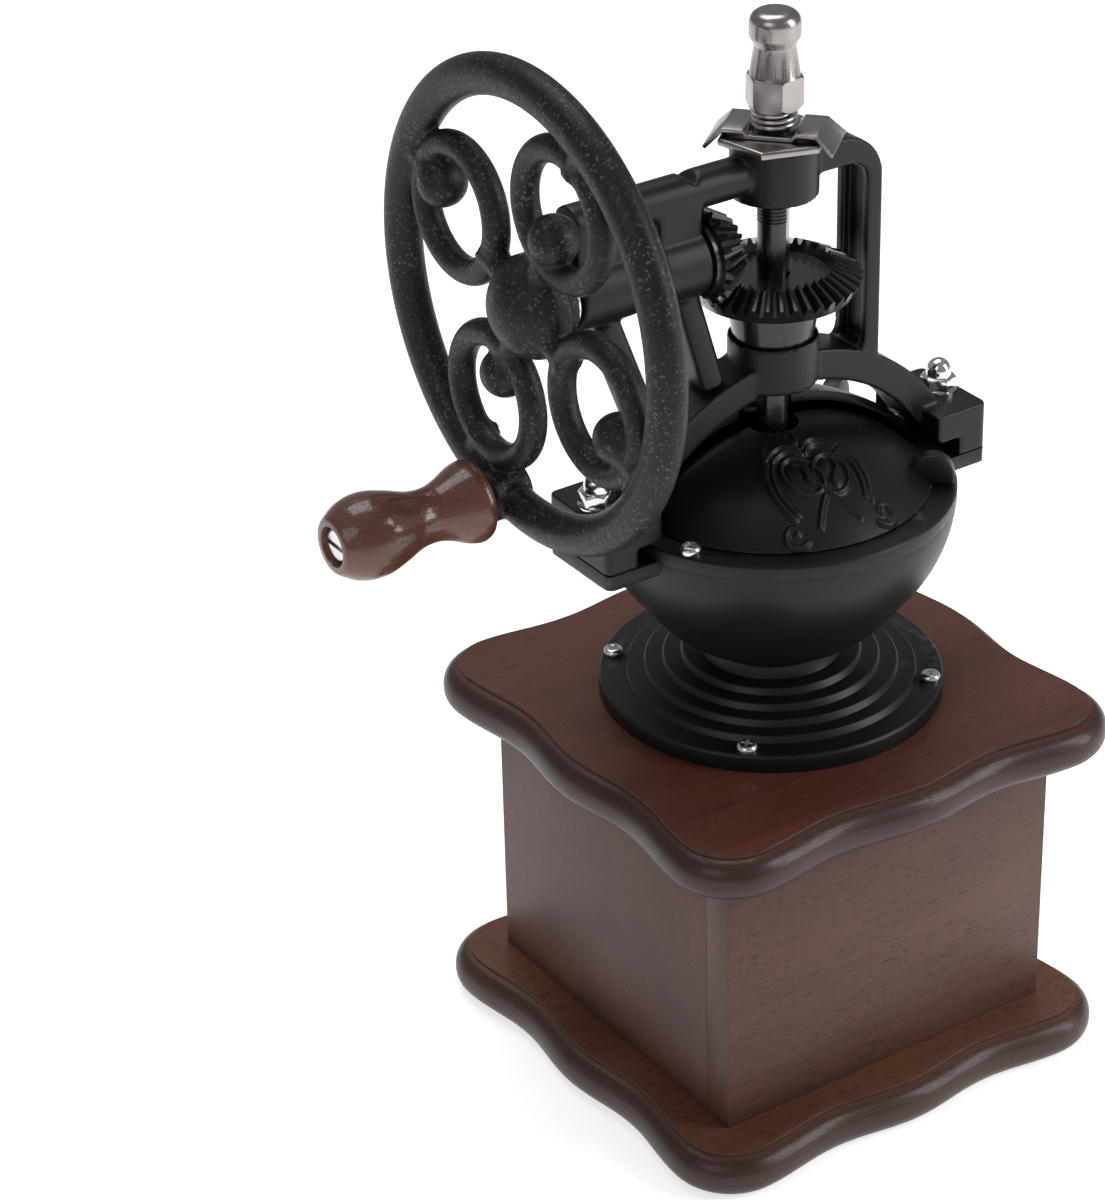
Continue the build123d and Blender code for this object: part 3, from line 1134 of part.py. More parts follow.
def handle_grip():
    x0, x1 = grip_span()
    length = x1 - x0
    flare_x, end_x = x1 - GRIP_LIP, x0 + GRIP_END_ROUND
    waist_x, belly_x = x1 - length * GRIP_WAIST_AT, x1 - length * GRIP_BELLY_AT
    shape = Spline(
        (flare_x, GRIP_R), (waist_x, GRIP_WAIST_R), (belly_x, GRIP_BELLY_R), (end_x, GRIP_END_R),
        tangents=[(-1, -0.05), (-0.5, -1)],
    )
    ends = Polyline(
        (end_x, GRIP_END_R), (x0, GRIP_END_R - 0.6), (x0, 0), (x1, 0), (x1, GRIP_R - 1.0), (flare_x, GRIP_R),
    )
    face = make_face([Plane.XZ * e for e in (shape, ends)])
    body = Pos(0, HANDLE_Y, HANDLE_Z) * revolve(face, Axis.X, 360)
    body -= rod_x(BOLT_R + RUN_GAP, x0 - 1, x1 + 1, HANDLE_Y, HANDLE_Z)
    pocket = bolt_seat_x() + MOVE_GAP
    return body - rod_x(BOLT_HEAD_R + MOVE_GAP, x0 - 1, pocket, HANDLE_Y, HANDLE_Z)


# ---------------------------------------------------------------- write every piece
def all_nodes():
    bolts, washers, nuts = ear_bolt_set()
    nodes = case_nodes() | drawer_nodes()
    nodes |= {
        "hopper_bowl": hopper_bowl(), "flange_screws": flange_screws(),
        "outer_burr": outer_burr(), "inner_burr": inner_burr(), "burr_nut": burr_nut(),
        "burr_bridge": burr_bridge(), "bridge_screws": bridge_screws(),
        "hopper_cover": hopper_cover(), "cover_screws": cover_screws(), "hopper_door": hopper_door(),
        "yoke": yoke(), "ear_bolts": bolts, "ear_washers": washers, "acorn_nuts": nuts,
        "thrust_washer": thrust_washer(), "spindle": spindle(),
        "bevel_gear": bevel_gear(), "gear_set_screw": gear_set_screw(),
        "adjusting_nut": adjusting_nut(), "lock_plate": lock_plate(),
        "lock_spring": lock_spring(), "cap_nut": cap_nut(),
        "crank_shaft": crank_shaft(), "bevel_pinion": bevel_pinion(), "pinion_key": pinion_key(),
        "wheel": wheel(), "wheel_washer": wheel_washer(), "wheel_set_screw": wheel_set_screw(),
        "handle_bolt": handle_bolt(), "handle_washer": handle_washer(), "handle_grip": handle_grip(),
    }
    return nodes


os.makedirs("parts", exist_ok=True)
for name, shape in all_nodes().items():
    save(name, shape)
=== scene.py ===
"""Looks of the hand crank coffee grinder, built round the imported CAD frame. All lengths are in metres."""

import json
import math

import bmesh
import bpy
import numpy as np
from mathutils import Matrix, Vector


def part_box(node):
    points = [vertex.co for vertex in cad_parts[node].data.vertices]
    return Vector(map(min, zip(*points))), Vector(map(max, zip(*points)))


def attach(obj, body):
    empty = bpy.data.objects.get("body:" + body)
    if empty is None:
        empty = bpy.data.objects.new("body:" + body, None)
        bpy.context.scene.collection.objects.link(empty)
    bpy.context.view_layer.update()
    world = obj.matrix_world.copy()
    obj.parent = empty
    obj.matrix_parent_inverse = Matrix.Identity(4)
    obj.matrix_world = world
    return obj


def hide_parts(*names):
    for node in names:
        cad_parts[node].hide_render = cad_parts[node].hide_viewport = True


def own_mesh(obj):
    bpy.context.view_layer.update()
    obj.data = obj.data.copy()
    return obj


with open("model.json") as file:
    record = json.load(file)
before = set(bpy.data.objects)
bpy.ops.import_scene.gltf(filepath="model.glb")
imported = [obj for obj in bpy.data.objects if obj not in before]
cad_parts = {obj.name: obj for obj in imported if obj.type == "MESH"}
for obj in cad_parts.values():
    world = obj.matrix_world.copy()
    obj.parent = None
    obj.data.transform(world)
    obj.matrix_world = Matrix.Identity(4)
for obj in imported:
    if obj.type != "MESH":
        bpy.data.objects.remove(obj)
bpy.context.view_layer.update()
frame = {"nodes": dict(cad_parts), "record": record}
NODES = frame["nodes"]
BODIES = frame["record"]["behaviour"]["bodies"]
SLOT_OF = {row["node"]: row["material_slot"] for row in frame["record"]["subparts"]}
BODY_OF = {node: body for body, members in BODIES.items() for node in members}
MM = 0.001


# ------------------------------------------------------------------ camera, floor and light
CAMERA_AT = Vector((-0.4820, -0.6384, 0.5792))
CAMERA_YAW = math.radians(33.13)
CAMERA_PITCH = math.radians(29.62)
CAMERA_ROLL = math.radians(-1.53)
CAMERA_LENS = 110.04


def add_camera():
    data = bpy.data.cameras.new("camera")
    data.lens = CAMERA_LENS
    data.sensor_width = 36.0
    data.clip_start = 0.05
    data.clip_end = 20.0
    camera = bpy.data.objects.new("camera", data)
    bpy.context.scene.collection.objects.link(camera)
    flat = math.cos(CAMERA_PITCH)
    look = Vector((math.sin(CAMERA_YAW) * flat, math.cos(CAMERA_YAW) * flat, -math.sin(CAMERA_PITCH)))
    level = Vector((math.cos(CAMERA_YAW), -math.sin(CAMERA_YAW), 0.0))
    upright = level.cross(look)
    right = level * math.cos(CAMERA_ROLL) + upright * math.sin(CAMERA_ROLL)
    up = upright * math.cos(CAMERA_ROLL) - level * math.sin(CAMERA_ROLL)
    turn = Matrix((right, up, -look)).transposed().to_4x4()
    camera.matrix_world = Matrix.Translation(CAMERA_AT) @ turn
    bpy.context.scene.camera = camera


def area_light(name, at, towards, size, power, colour=(1.0, 1.0, 1.0)):
    data = bpy.data.lights.new(name, "AREA")
    data.shape = "RECTANGLE"
    data.size, data.size_y = size
    data.energy = power
    data.color = colour
    light = bpy.data.objects.new(name, data)
    light.location = at
    light.rotation_mode = "QUATERNION"
    light.rotation_quaternion = (Vector(towards) - Vector(at)).to_track_quat("-Z", "Y")
    bpy.context.scene.collection.objects.link(light)


def add_studio():
    """Pale floor, pale surroundings and three soft boxes."""
    world = bpy.data.worlds.new("studio")
    world.use_nodes = True
    sky = world.node_tree.nodes["Background"]
    sky.inputs["Color"].default_value = (0.96, 0.98, 1.0, 1.0)
    sky.inputs["Strength"].default_value = 0.27
    bpy.context.scene.world = world
    middle = (0.0, 0.0, 0.14)
    area_light("key_left", (-1.30, -0.55, 1.15), middle, (0.9, 0.9), 4.2)
    area_light("side_right", (0.95, -0.95, 0.75), middle, (0.5, 1.1), 11.0)
    area_light("overhead", (0.1, 0.5, 1.5), middle, (1.1, 0.8), 9.5)
    floor = new_object("floor", [(-4, -4, 0), (4, -4, 0), (4, 4, 0), (-4, 4, 0)], [(0, 1, 2, 3)])
    floor.data.materials.append(floor_material())
    view = bpy.context.scene.view_settings
    view.view_transform = "Standard"
    view.look = "None"


# ------------------------------------------------------------------ mesh helpers
def new_object(name, verts, faces, smooth_deg=None):
    mesh = bpy.data.meshes.new(name)
    mesh.from_pydata([tuple(v) for v in verts], [], faces)
    mesh.update()
    obj = bpy.data.objects.new(name, mesh)
    bpy.context.scene.collection.objects.link(obj)
    if smooth_deg is not None:
        smooth(obj, smooth_deg)
    return obj


def from_bmesh(name, bm, smooth_deg=35.0):
    bmesh.ops.recalc_face_normals(bm, faces=bm.faces)
    mesh = bpy.data.meshes.new(name)
    bm.to_mesh(mesh)
    bm.free()
    obj = bpy.data.objects.new(name, mesh)
    bpy.context.scene.collection.objects.link(obj)
    smooth(obj, smooth_deg)
    return obj


def smooth(obj, degrees):
    obj.data.shade_smooth()
    obj.data.set_sharp_from_angle(angle=math.radians(degrees))


def settle(obj):
    """Turn an object's modifiers into its mesh."""
    graph = bpy.context.evaluated_depsgraph_get()
    mesh = bpy.data.meshes.new_from_object(obj.evaluated_get(graph))
    obj.modifiers.clear()
    obj.data = mesh
    obj.data.name = obj.name
    return obj


def joined(name, objects):
    """One object from several, in their order."""
    bm = bmesh.new()
    for obj in objects:
        piece = obj.data.copy()
        piece.transform(obj.matrix_world)
        bm.from_mesh(piece)
        bpy.data.objects.remove(obj)
    mesh = bpy.data.meshes.new(name)
    bm.to_mesh(mesh)
    bm.free()
    result = bpy.data.objects.new(name, mesh)
    bpy.context.scene.collection.objects.link(result)
    return result


def cut(obj, tool, operation="DIFFERENCE"):
    """Boolean of obj with a tool object, which is used up."""
    step = obj.modifiers.new("cut", "BOOLEAN")
    step.operation = operation
    step.solver = "EXACT"
    step.object = tool
    settle(obj)
    bpy.data.objects.remove(tool)
    return obj


def about(axis):
    """Function that puts (across, sideways, along) on the row's axes for a shape round that axis."""
    if axis == "X":
        return lambda a, b, h: Vector((h, a, b))
    if axis == "Y":
        return lambda a, b, h: Vector((b, h, a))
    return lambda a, b, h: Vector((a, b, h))


def lathe(name, profile, centre=(0, 0, 0), axis="Z", segments=144, smooth_deg=35.0):
    """Solid of revolution from (radius, height) points; open ends on the axis are closed there."""
    bm = bmesh.new()
    place, origin = about(axis), Vector(centre)
    rows = []
    for r, h in profile:
        count = 1 if r < 1e-7 else segments
        row = []
        for i in range(count):
            a = 2 * math.pi * i / segments
            row.append(bm.verts.new(origin + place(r * math.cos(a), r * math.sin(a), h)))
        rows.append(row)
    pairs = list(zip(rows, rows[1:]))
    if len(rows[0]) > 1:
        pairs.append((rows[-1], rows[0]))
    for low, high in pairs:
        for i in range(segments):
            j = (i + 1) % segments
            quad = [low[i % len(low)], low[j % len(low)], high[j % len(high)], high[i % len(high)]]
            corners = list(dict.fromkeys(quad))
            if len(corners) > 2:
                bm.faces.new(corners)
    return from_bmesh(name, bm, smooth_deg)


def rounded(points, radius, steps=4, closed=False):
    """Polyline with its inner corners rounded; radius is one value or one for each point."""
    count = len(points)
    out = []
    for i, here in enumerate(points):
        r = radius[i] if isinstance(radius, (list, tuple)) else radius
        if r <= 0 or (not closed and i in (0, count - 1)):
            out.append(tuple(here))
            continue
        p = Vector(here)
        back = Vector(points[i - 1]) - p
        ahead = Vector(points[(i + 1) % count]) - p
        reach = min(r, back.length * 0.48, ahead.length * 0.48)
        start, end = p + back.normalized() * reach, p + ahead.normalized() * reach
        for k in range(steps + 1):
            t = k / steps
            q = start * (1 - t) ** 2 + p * (2 * t * (1 - t)) + end * t**2
            out.append(tuple(q))
    return out


def arc(centre, radius, start_deg, end_deg, steps):
    """Points of an arc in the (radius, height) plane."""
    points = []
    for k in range(steps + 1):
        a = math.radians(start_deg + (end_deg - start_deg) * k / steps)
        points.append((centre[0] + radius * math.cos(a), centre[1] + radius * math.sin(a)))
    return points


def softened(node, name=None, width=0.3 * MM, angle=30.0):
    """Copy of a CAD node with its hard edges eased, standing for it."""
    mesh = NODES[node].data.copy()
    bm = bmesh.new()
    bm.from_mesh(mesh)
    bmesh.ops.remove_doubles(bm, verts=bm.verts, dist=1e-6)
    bmesh.ops.dissolve_limit(bm, angle_limit=math.radians(1.0), verts=bm.verts, edges=bm.edges)
    bm.normal_update()
    sharp = [e for e in bm.edges if len(e.link_faces) == 2 and e.calc_face_angle(0) > math.radians(angle)]
    bmesh.ops.bevel(bm, geom=sharp, offset=width, segments=2, profile=0.5, affect="EDGES", clamp_overlap=True)
    obj = from_bmesh(name or node + "_finished", bm, 40.0)
    return stand_for(obj, node)


def stand_for(obj, *nodes, body=None):
    """Ride obj on the body of the nodes that it replaces, with their material."""
    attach(obj, body or BODY_OF[nodes[0]])
    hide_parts(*nodes)
    dress(obj, SLOT_OF[nodes[0]])
    return obj


def dress(obj, slot, material=None):
    obj.data.materials.clear()
    obj.data.materials.append(material or MATERIALS[slot])


def cast(name, obj, voxel, rounds):
    """Fuse the overlapping solids of a mesh into one casting with rounded edges and inner corners."""
    obj.name = name
    step = obj.modifiers.new("fuse", "REMESH")
    step.mode = "VOXEL"
    step.voxel_size = voxel
    ease = obj.modifiers.new("ease", "SMOOTH")
    ease.factor = 0.5
    ease.iterations = rounds
    settle(obj)
    obj.data.shade_smooth()
    return obj


# ------------------------------------------------------------------ material helpers
class Graph:
    """A material's node tree with short calls for adding and linking nodes."""

    def __init__(self, name):
        self.material = bpy.data.materials.new(name)
        self.material.use_nodes = True
        self.tree = self.material.node_tree
        self.shader = self.tree.nodes["Principled BSDF"]

    def add(self, kind, inputs=None, **settings):
        node = self.tree.nodes.new("ShaderNode" + kind)
        for key, value in settings.items():
            setattr(node, key, value)
        for key, value in (inputs or {}).items():
            if isinstance(value, bpy.types.NodeSocket):
                self.tree.links.new(value, node.inputs[key])
            else:
                node.inputs[key].default_value = value
        return node

    def coords(self, scale=(1, 1, 1), rotation=(0, 0, 0), location=(0, 0, 0)):
        """Object coordinates, which keep their place on a moving piece."""
        source = self.add("TexCoord").outputs["Object"]
        inputs = {"Vector": source, "Scale": scale, "Rotation": rotation, "Location": location}
        return self.add("Mapping", inputs).outputs["Vector"]

    def noise(self, vector, scale, detail=3.0, roughness=0.5):
        inputs = {"Vector": vector, "Scale": scale, "Detail": detail, "Roughness": roughness}
        return self.add("TexNoise", inputs).outputs["Fac"]

    def ramp(self, value, stops):
        """Colour or grey from (place, colour) stops."""
        node = self.add("ValToRGB", {"Fac": value})
        band = node.color_ramp
        while len(band.elements) < len(stops):
            band.elements.new(0.5)
        for element, (place, colour) in zip(band.elements, stops):
            element.position = place
            element.color = colour if len(colour) == 4 else (*colour, 1.0)
        return node.outputs["Color"]

    def grey(self, value, low, high):
        """Ramp from black to white between two values."""
        return self.ramp(value, [(low, (0, 0, 0)), (high, (1, 1, 1))])

    def mix(self, factor, a, b, blend="MIX"):
        node = self.add("Mix", data_type="RGBA", blend_type=blend)
        for index, value in ((0, factor), (6, a), (7, b)):
            if isinstance(value, bpy.types.NodeSocket):
                self.tree.links.new(value, node.inputs[index])
            elif index:
                node.inputs[index].default_value = (*value, 1.0)
            else:
                node.inputs[index].default_value = value
        return node.outputs[2]

    def scaled(self, value, low, high):
        """Map 0..1 to low..high."""
        node = self.add("MapRange", {"Value": value, "To Min": low, "To Max": high})
        return node.outputs["Result"]

    def math(self, operation, a, b=0.5):
        node = self.add("Math", operation=operation)
        for index, value in enumerate((a, b)):
            if isinstance(value, bpy.types.NodeSocket):
                self.tree.links.new(value, node.inputs[index])
            else:
                node.inputs[index].default_value = value
        return node.outputs["Value"]

    def bump(self, height, depth, strength=1.0, under=None):
        inputs = {"Height": height, "Distance": depth, "Strength": strength}
        if under is not None:
            inputs["Normal"] = under
        return self.add("Bump", inputs).outputs["Normal"]

    def set(self, **inputs):
        """Set or link the shader's inputs; underscores stand for spaces."""
        for key, value in inputs.items():
            socket = self.shader.inputs[key.replace("_", " ")]
            if isinstance(value, bpy.types.NodeSocket):
                self.tree.links.new(value, socket)
            elif socket.type == "RGBA":
                socket.default_value = (*value, 1.0)
            else:
                socket.default_value = value
        return self.material


def floor_material():
    g = Graph("pale_floor")
    speck = g.noise(g.coords(), 900.0)
    tone = g.ramp(speck, [(0.3, (0.90, 0.90, 0.90)), (0.7, (0.93, 0.93, 0.93))])
    return g.set(Base_Color=tone, Roughness=0.8, Specular_IOR_Level=0.1, Emission_Color=(1, 1, 1),
                 Emission_Strength=0.60)


# ------------------------------------------------------------------ materials
GRAIN_TURN = {"X": (0, 0, 0), "Y": (0, 0, math.pi / 2), "Z": (0, math.pi / 2, 0)}


def wood(name, grain, dark, light, fleck, gloss, fleck_share=0.5, gloss_rough=0.25, side_shade=1.0):
    """Stained, lacquered wood with tone bands, streaks and pores; faces turned off the top are darkened by
    painted shade, by the side factor.
    """
    g = Graph(name)
    turn = GRAIN_TURN[grain]
    slow = g.noise(g.coords((3, 14, 14), turn), 2.2, 3.0, 0.55)
    fine = g.noise(g.coords((14, 320, 320), turn), 1.0, 4.0, 0.6)
    pores = g.noise(g.coords((420, 2600, 2600), turn), 1.0, 1.0, 0.4)
    rays = g.noise(g.coords((160, 900, 900), turn, (0.3, 0.1, 0.2)), 1.0, 1.0, 0.3)
    tone = g.ramp(slow, [(0.30, dark), (0.72, light)])
    streaks = g.ramp(fine, [(0.30, (0.80, 0.78, 0.76)), (0.70, (1.10, 1.10, 1.10))])
    tone = g.mix(0.75, tone, streaks, "MULTIPLY")
    # Painted shade: faces that turn away from straight up, such as the rolled edges, are multiplied darker by
    # the side factor.
    facing = g.add("SeparateXYZ", {"Vector": g.add("NewGeometry").outputs["Normal"]}).outputs["Z"]
    side_shade_mask = g.scaled(g.grey(facing, 0.86, 0.99), 1.0, 0.0)
    tone = g.mix(side_shade_mask, tone, (side_shade,) * 3, "MULTIPLY")
    pore_mask = g.grey(pores, 0.60, 0.70)
    ray_mask = g.grey(rays, 0.64, 0.72)
    tone = g.mix(g.scaled(pore_mask, 0.0, fleck_share), tone, fleck)
    tone = g.mix(g.scaled(ray_mask, 0.0, fleck_share * 0.6), tone, fleck)
    height = g.math("SUBTRACT", g.scaled(fine, 0.0, 0.3), g.scaled(pore_mask, 0.0, 0.7))
    relief = g.bump(height, 0.00008, 0.55)
    wave = g.bump(g.noise(g.coords((30, 60, 60), turn), 1.0, 2.0), 0.00025, 0.18, relief)
    return g.set(Base_Color=tone, Roughness=g.scaled(fine, 0.42, 0.58), Specular_IOR_Level=0.28,
                 Coat_Weight=gloss, Coat_Roughness=gloss_rough, Coat_Normal=wave, Normal=relief)


def plain_wood():
    """Bare beech of the drawer's inside pieces."""
    g = Graph("bare_beech")
    turn = GRAIN_TURN["Y"]
    slow = g.noise(g.coords((3, 30, 30), turn), 2.0, 3.0)
    pores = g.noise(g.coords((300, 2200, 2200), turn), 1.0, 1.0)
    tone = g.ramp(slow, [(0.3, (0.47, 0.29, 0.16)), (0.7, (0.60, 0.41, 0.25))])
    tone = g.mix(g.scaled(g.grey(pores, 0.6, 0.7), 0.0, 0.5), tone, (0.30, 0.17, 0.09))
    return g.set(Base_Color=tone, Roughness=0.62, Normal=g.bump(pores, 0.00006, 0.5))


def satin_black(name, base, rough, edge, grain_depth=0.00003):
    """Smooth black coat with a faint pebble and its convex edges painted lighter, partly wear and partly
    painted highlight.
    """
    g = Graph(name)
    space = g.coords()
    pebble = g.noise(space, 1900.0, 2.0, 0.6)
    cloud = g.noise(space, 55.0, 3.0)
    # Edges found by pointiness and broken up by scuffs: their lighter colour is partly wear and partly a
    # painted highlight along the creases.
    wear_and_highlight = g.grey(g.add("NewGeometry").outputs["Pointiness"], 0.53, 0.64)
    scuffs = g.grey(g.noise(space, 380.0, 3.0), 0.42, 0.72)
    wear_and_highlight = g.math("MULTIPLY", wear_and_highlight, scuffs)
    tone = g.mix(g.scaled(cloud, 0.0, 0.5), base, tuple(c * 1.5 for c in base))
    tone = g.mix(g.scaled(wear_and_highlight, 0.0, 0.75), tone, edge)
    roughness = g.math("ADD", g.scaled(cloud, rough - 0.04, rough + 0.05), g.scaled(wear_and_highlight, 0.0, -0.05))
    return g.set(Base_Color=tone, Roughness=roughness, Metallic=0.0, Specular_IOR_Level=0.30,
                 Normal=g.bump(pebble, grain_depth, 0.6))


def rough_cast():
    """Sand-cast iron under black paint, with painted glints: scattered grains made lighter in colour."""
    g = Graph("wheel_cast_black")
    space = g.coords()
    grains = g.add("TexVoronoi", {"Vector": space, "Scale": 1900.0}).outputs["Color"]
    # Painted glints: random grain cells get a light grey base colour and lower roughness, standing in for
    # sparkle from the light.
    painted_glint_mask = g.grey(g.add("SeparateColor", {"Color": grains}).outputs["Red"], 0.86, 0.94)
    sand = g.noise(space, 1150.0, 3.0, 0.7)
    lumps = g.noise(space, 260.0, 2.0)
    patches = g.grey(g.noise(space, 70.0, 2.0), 0.38, 0.62)
    painted_glint = g.math("MULTIPLY", painted_glint_mask, g.scaled(patches, 0.25, 1.0))
    tone = g.mix(sand, (0.004, 0.004, 0.005), (0.016, 0.016, 0.019))
    # Painted glint colour on the chosen grains.
    tone = g.mix(g.scaled(painted_glint, 0.0, 0.45), tone, (0.16, 0.16, 0.17))
    roughness = g.math("SUBTRACT", g.scaled(sand, 0.34, 0.52), g.scaled(painted_glint, 0.0, 0.16))
    relief = g.bump(lumps, 0.00022, 0.5)
    relief = g.bump(sand, 0.00016, 0.85, relief)
    return g.set(Base_Color=tone, Roughness=roughness, Specular_IOR_Level=0.24, Normal=relief)


def oiled_steel():
    """Black oxide under a film of oil, glossy, brown where the oil gathers."""
    g = Graph("oiled_black_steel")
    space = g.coords()
    film = g.grey(g.noise(space, 130.0, 3.0), 0.40, 0.68)
    pits = g.noise(space, 1300.0, 3.0, 0.65)
    wear_and_highlight = g.grey(g.noise(space, 700.0, 2.0), 0.55, 0.75)
    tone = g.mix(film, (0.016, 0.016, 0.018), (0.022, 0.016, 0.013))
    tone = g.mix(g.scaled(wear_and_highlight, 0.0, 0.4), tone, (0.06, 0.06, 0.06))
    return g.set(Base_Color=tone, Metallic=0.55, Roughness=g.scaled(film, 0.34, 0.18), Coat_Weight=0.5,
                 Coat_Roughness=0.10, Specular_IOR_Level=0.6, Normal=g.bump(pits, 0.00010, 0.6))


def turned_metal(name, colour, rough, lines, depth=0.00002, tint=None):
    """Bare or plated metal with fine turning lines; lines are the scales of the stretched noise."""
    g = Graph(name)
    streaks = g.noise(g.coords(lines), 1.0, 3.0, 0.7)
    stain = g.noise(g.coords(), 160.0, 3.0)
    tone = g.mix(g.grey(stain, 0.35, 0.7), colour, tint or tuple(c * 0.82 for c in colour))
    tone = g.mix(g.scaled(streaks, 0.0, 0.35), tone, tuple(min(1.0, c * 1.2) for c in colour))
    return g.set(Base_Color=tone, Metallic=1.0, Roughness=g.scaled(streaks, rough * 0.75, rough * 1.3),
                 Normal=g.bump(streaks, depth, 0.6))


def burr_metal():
    g = Graph("burr_iron_bare")
    space = g.coords()
    pits = g.noise(space, 900.0, 4.0, 0.7)
    tone = g.mix(pits, (0.10, 0.095, 0.09), (0.24, 0.23, 0.22))
    return g.set(Base_Color=tone, Metallic=0.85, Roughness=g.scaled(pits, 0.35, 0.55),
                 Normal=g.bump(pits, 0.00012, 0.6))


WALL_DARK, WALL_LIGHT, WALL_FLECK = (0.070, 0.031, 0.024), (0.112, 0.052, 0.040), (0.022, 0.009, 0.006)
PLATE_DARK, PLATE_LIGHT, PLATE_FLECK = (0.080, 0.022, 0.012), (0.135, 0.042, 0.024), (0.026, 0.008, 0.004)
BASE_DARK, BASE_LIGHT, BASE_FLECK = (0.110, 0.038, 0.020), (0.190, 0.076, 0.040), (0.040, 0.013, 0.006)
BLACK = (0.0055, 0.0055, 0.0070)
MATERIALS = {
    "stained_wood": wood("walnut_wall", "X", WALL_DARK, WALL_LIGHT, WALL_FLECK, 0.12, 0.75, 0.36),
    # The plate woods' last number darkens their rolled edges with painted shade.
    "plate_wood": wood("walnut_plate", "X", PLATE_DARK, PLATE_LIGHT, PLATE_FLECK, 0.30, 0.65, 0.20, 0.34),
    "drawer_wood": plain_wood(),
    "turned_wood": wood("walnut_turned", "X", PLATE_DARK, PLATE_LIGHT, PLATE_FLECK, 0.9, 0.4, 0.14),
    # The last colour is the lighter edge: wear plus a painted highlight.
    "satin_black": satin_black("satin_black_coat", BLACK, 0.38, (0.11, 0.11, 0.12)),
    "wheel_cast": rough_cast(),
    "dark_gear_steel": oiled_steel(),
    "burr_iron": burr_metal(),
    "gunmetal_nickel": turned_metal("gunmetal_turned", (0.36, 0.33, 0.32), 0.26, (60, 60, 2600)),
    "spring_steel": turned_metal("spring_wire", (0.52, 0.49, 0.47), 0.24, (400, 400, 400)),
    "bright_zinc": turned_metal("zinc_plate", (0.72, 0.73, 0.75), 0.24, (500, 500, 500)),
    "bright_nickel": turned_metal("nickel_plate", (0.74, 0.74, 0.74), 0.12, (90, 90, 1500), 0.00001),
}

# Its last number darkens the rolled edge with painted shade.
BASE_PLATE_WOOD = wood("walnut_base", "X", BASE_DARK, BASE_LIGHT, BASE_FLECK, 0.30, 0.75, 0.22, 0.30)


def dress_cad_nodes():
    for name, obj in NODES.items():
        dress(obj, SLOT_OF[name])
        smooth(obj, 30.0)


# ------------------------------------------------------------------ wooden case
CORNER_R = 17 * MM
HOLLOW = 2.6 * MM
ROLL_R = 5.2 * MM
STEP_H = 0.9 * MM
STEP_IN = 4.2 * MM
STEP_LEDGE = 3 * MM
STEP_ROUND = 0.18 * MM
TOP_HOLE_R = 24 * MM


def wavy_outline(half):
    """Points and outward normals round a plate with round corners and two hollows along each side."""
    straight = half - CORNER_R
    line = []
    for k in range(64):
        x = straight * (1 - 2 * k / 64)
        wave = 2 * math.pi * x / straight
        lean = HOLLOW * math.sin(wave) * math.pi / straight
        y = half - HOLLOW * (1 - math.cos(wave)) / 2
        line.append((Vector((x, y)), Vector((lean, 1.0)).normalized()))
    for k in range(16):
        a = math.radians(90 + 90 * k / 16)
        way = Vector((math.cos(a), math.sin(a)))
        line.append((Vector((-straight, straight)) + way * CORNER_R, way))
    turns = [Matrix.Rotation(math.radians(90 * q), 2) for q in range(4)]
    return [(turn @ p, turn @ n) for turn in turns for p, n in line]


def plate(node, hole_r):
    """Plate with a rolled edge, a fine step above it and either a round hole or none."""
    low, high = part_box(node)
    thick = high.z - low.z
    slab = thick - STEP_H
    edge = arc((ROLL_R, ROLL_R), ROLL_R, 270, 180, 10)
    edge += arc((ROLL_R, slab - ROLL_R), ROLL_R, 180, 104, 10)
    step = rounded([(STEP_IN, slab - 0.1 * MM), (STEP_IN, thick), (STEP_IN + STEP_LEDGE, thick)], STEP_ROUND)
    outline = wavy_outline(high.x)
    rings = [[(p - n * inset, low.z + z) for p, n in outline] for inset, z in edge + step]
    for z in (high.z, low.z):
        rings.append([(p.normalized() * hole_r, z) for p, n in outline])
    bm = bmesh.new()
    rows = [[bm.verts.new((p.x, p.y, z)) for p, z in ring] for ring in rings]
    for here, there in zip(rows, rows[1:] + rows[:1]):
        for i in range(len(outline)):
            j = (i + 1) % len(outline)
            bm.faces.new((here[i], here[j], there[j], there[i]))
    if node == "base_plate":
        bmesh.ops.remove_doubles(bm, verts=rows[-1] + rows[-2], dist=1 * MM)
    obj = from_bmesh(node + "_finished", bm, 40.0)
    return stand_for(obj, node)


def case_pieces():
    plate("top_plate", TOP_HOLE_R)
    dress(plate("base_plate", 0.01 * MM), "plate_wood", BASE_PLATE_WOOD)
    for node in ("left_wall", "right_wall", "back_wall", "front_rail", "drawer_front"):
        softened(node, width=0.22 * MM)
    for node in ("drawer_left_side", "drawer_right_side", "drawer_back", "drawer_bottom"):
        softened(node, width=0.35 * MM)
    for node in ("drawer_knob", "drawer_knob_screw"):
        softened(node, width=0.2 * MM)


# ------------------------------------------------------------------ bowl, cover and door
DOME_R = 57 * MM
DOOR_T = 2.0 * MM
DOOR_SPAN = math.radians(95)
DOOR_NOTCH_R = 6.5 * MM
EMBLEM_AT = (-3.5 * MM, -22.0 * MM)
EMBLEM_TURN = math.radians(-8)
TAB_R = 5.6 * MM
TAB_T = 4.0 * MM
TAB_FOOT = 2.0 * MM
TAB_AT_R = 39.0 * MM
TAB_UP = 2.2 * MM
TAB_TURN = math.radians(-40)


def segment_distance(p, a, b):
    """Distance of points p, an array of rows, from the segment ab."""
    a, b = np.array(a, float), np.array(b, float)
    along = np.clip(((p - a) @ (b - a)) / max((b - a) @ (b - a), 1e-9), 0, 1)
    return np.linalg.norm(p - a - along[:, None] * (b - a), axis=1)


def line_distance(p, points):
    return np.min([segment_distance(p, a, b) for a, b in zip(points, points[1:])], axis=0)


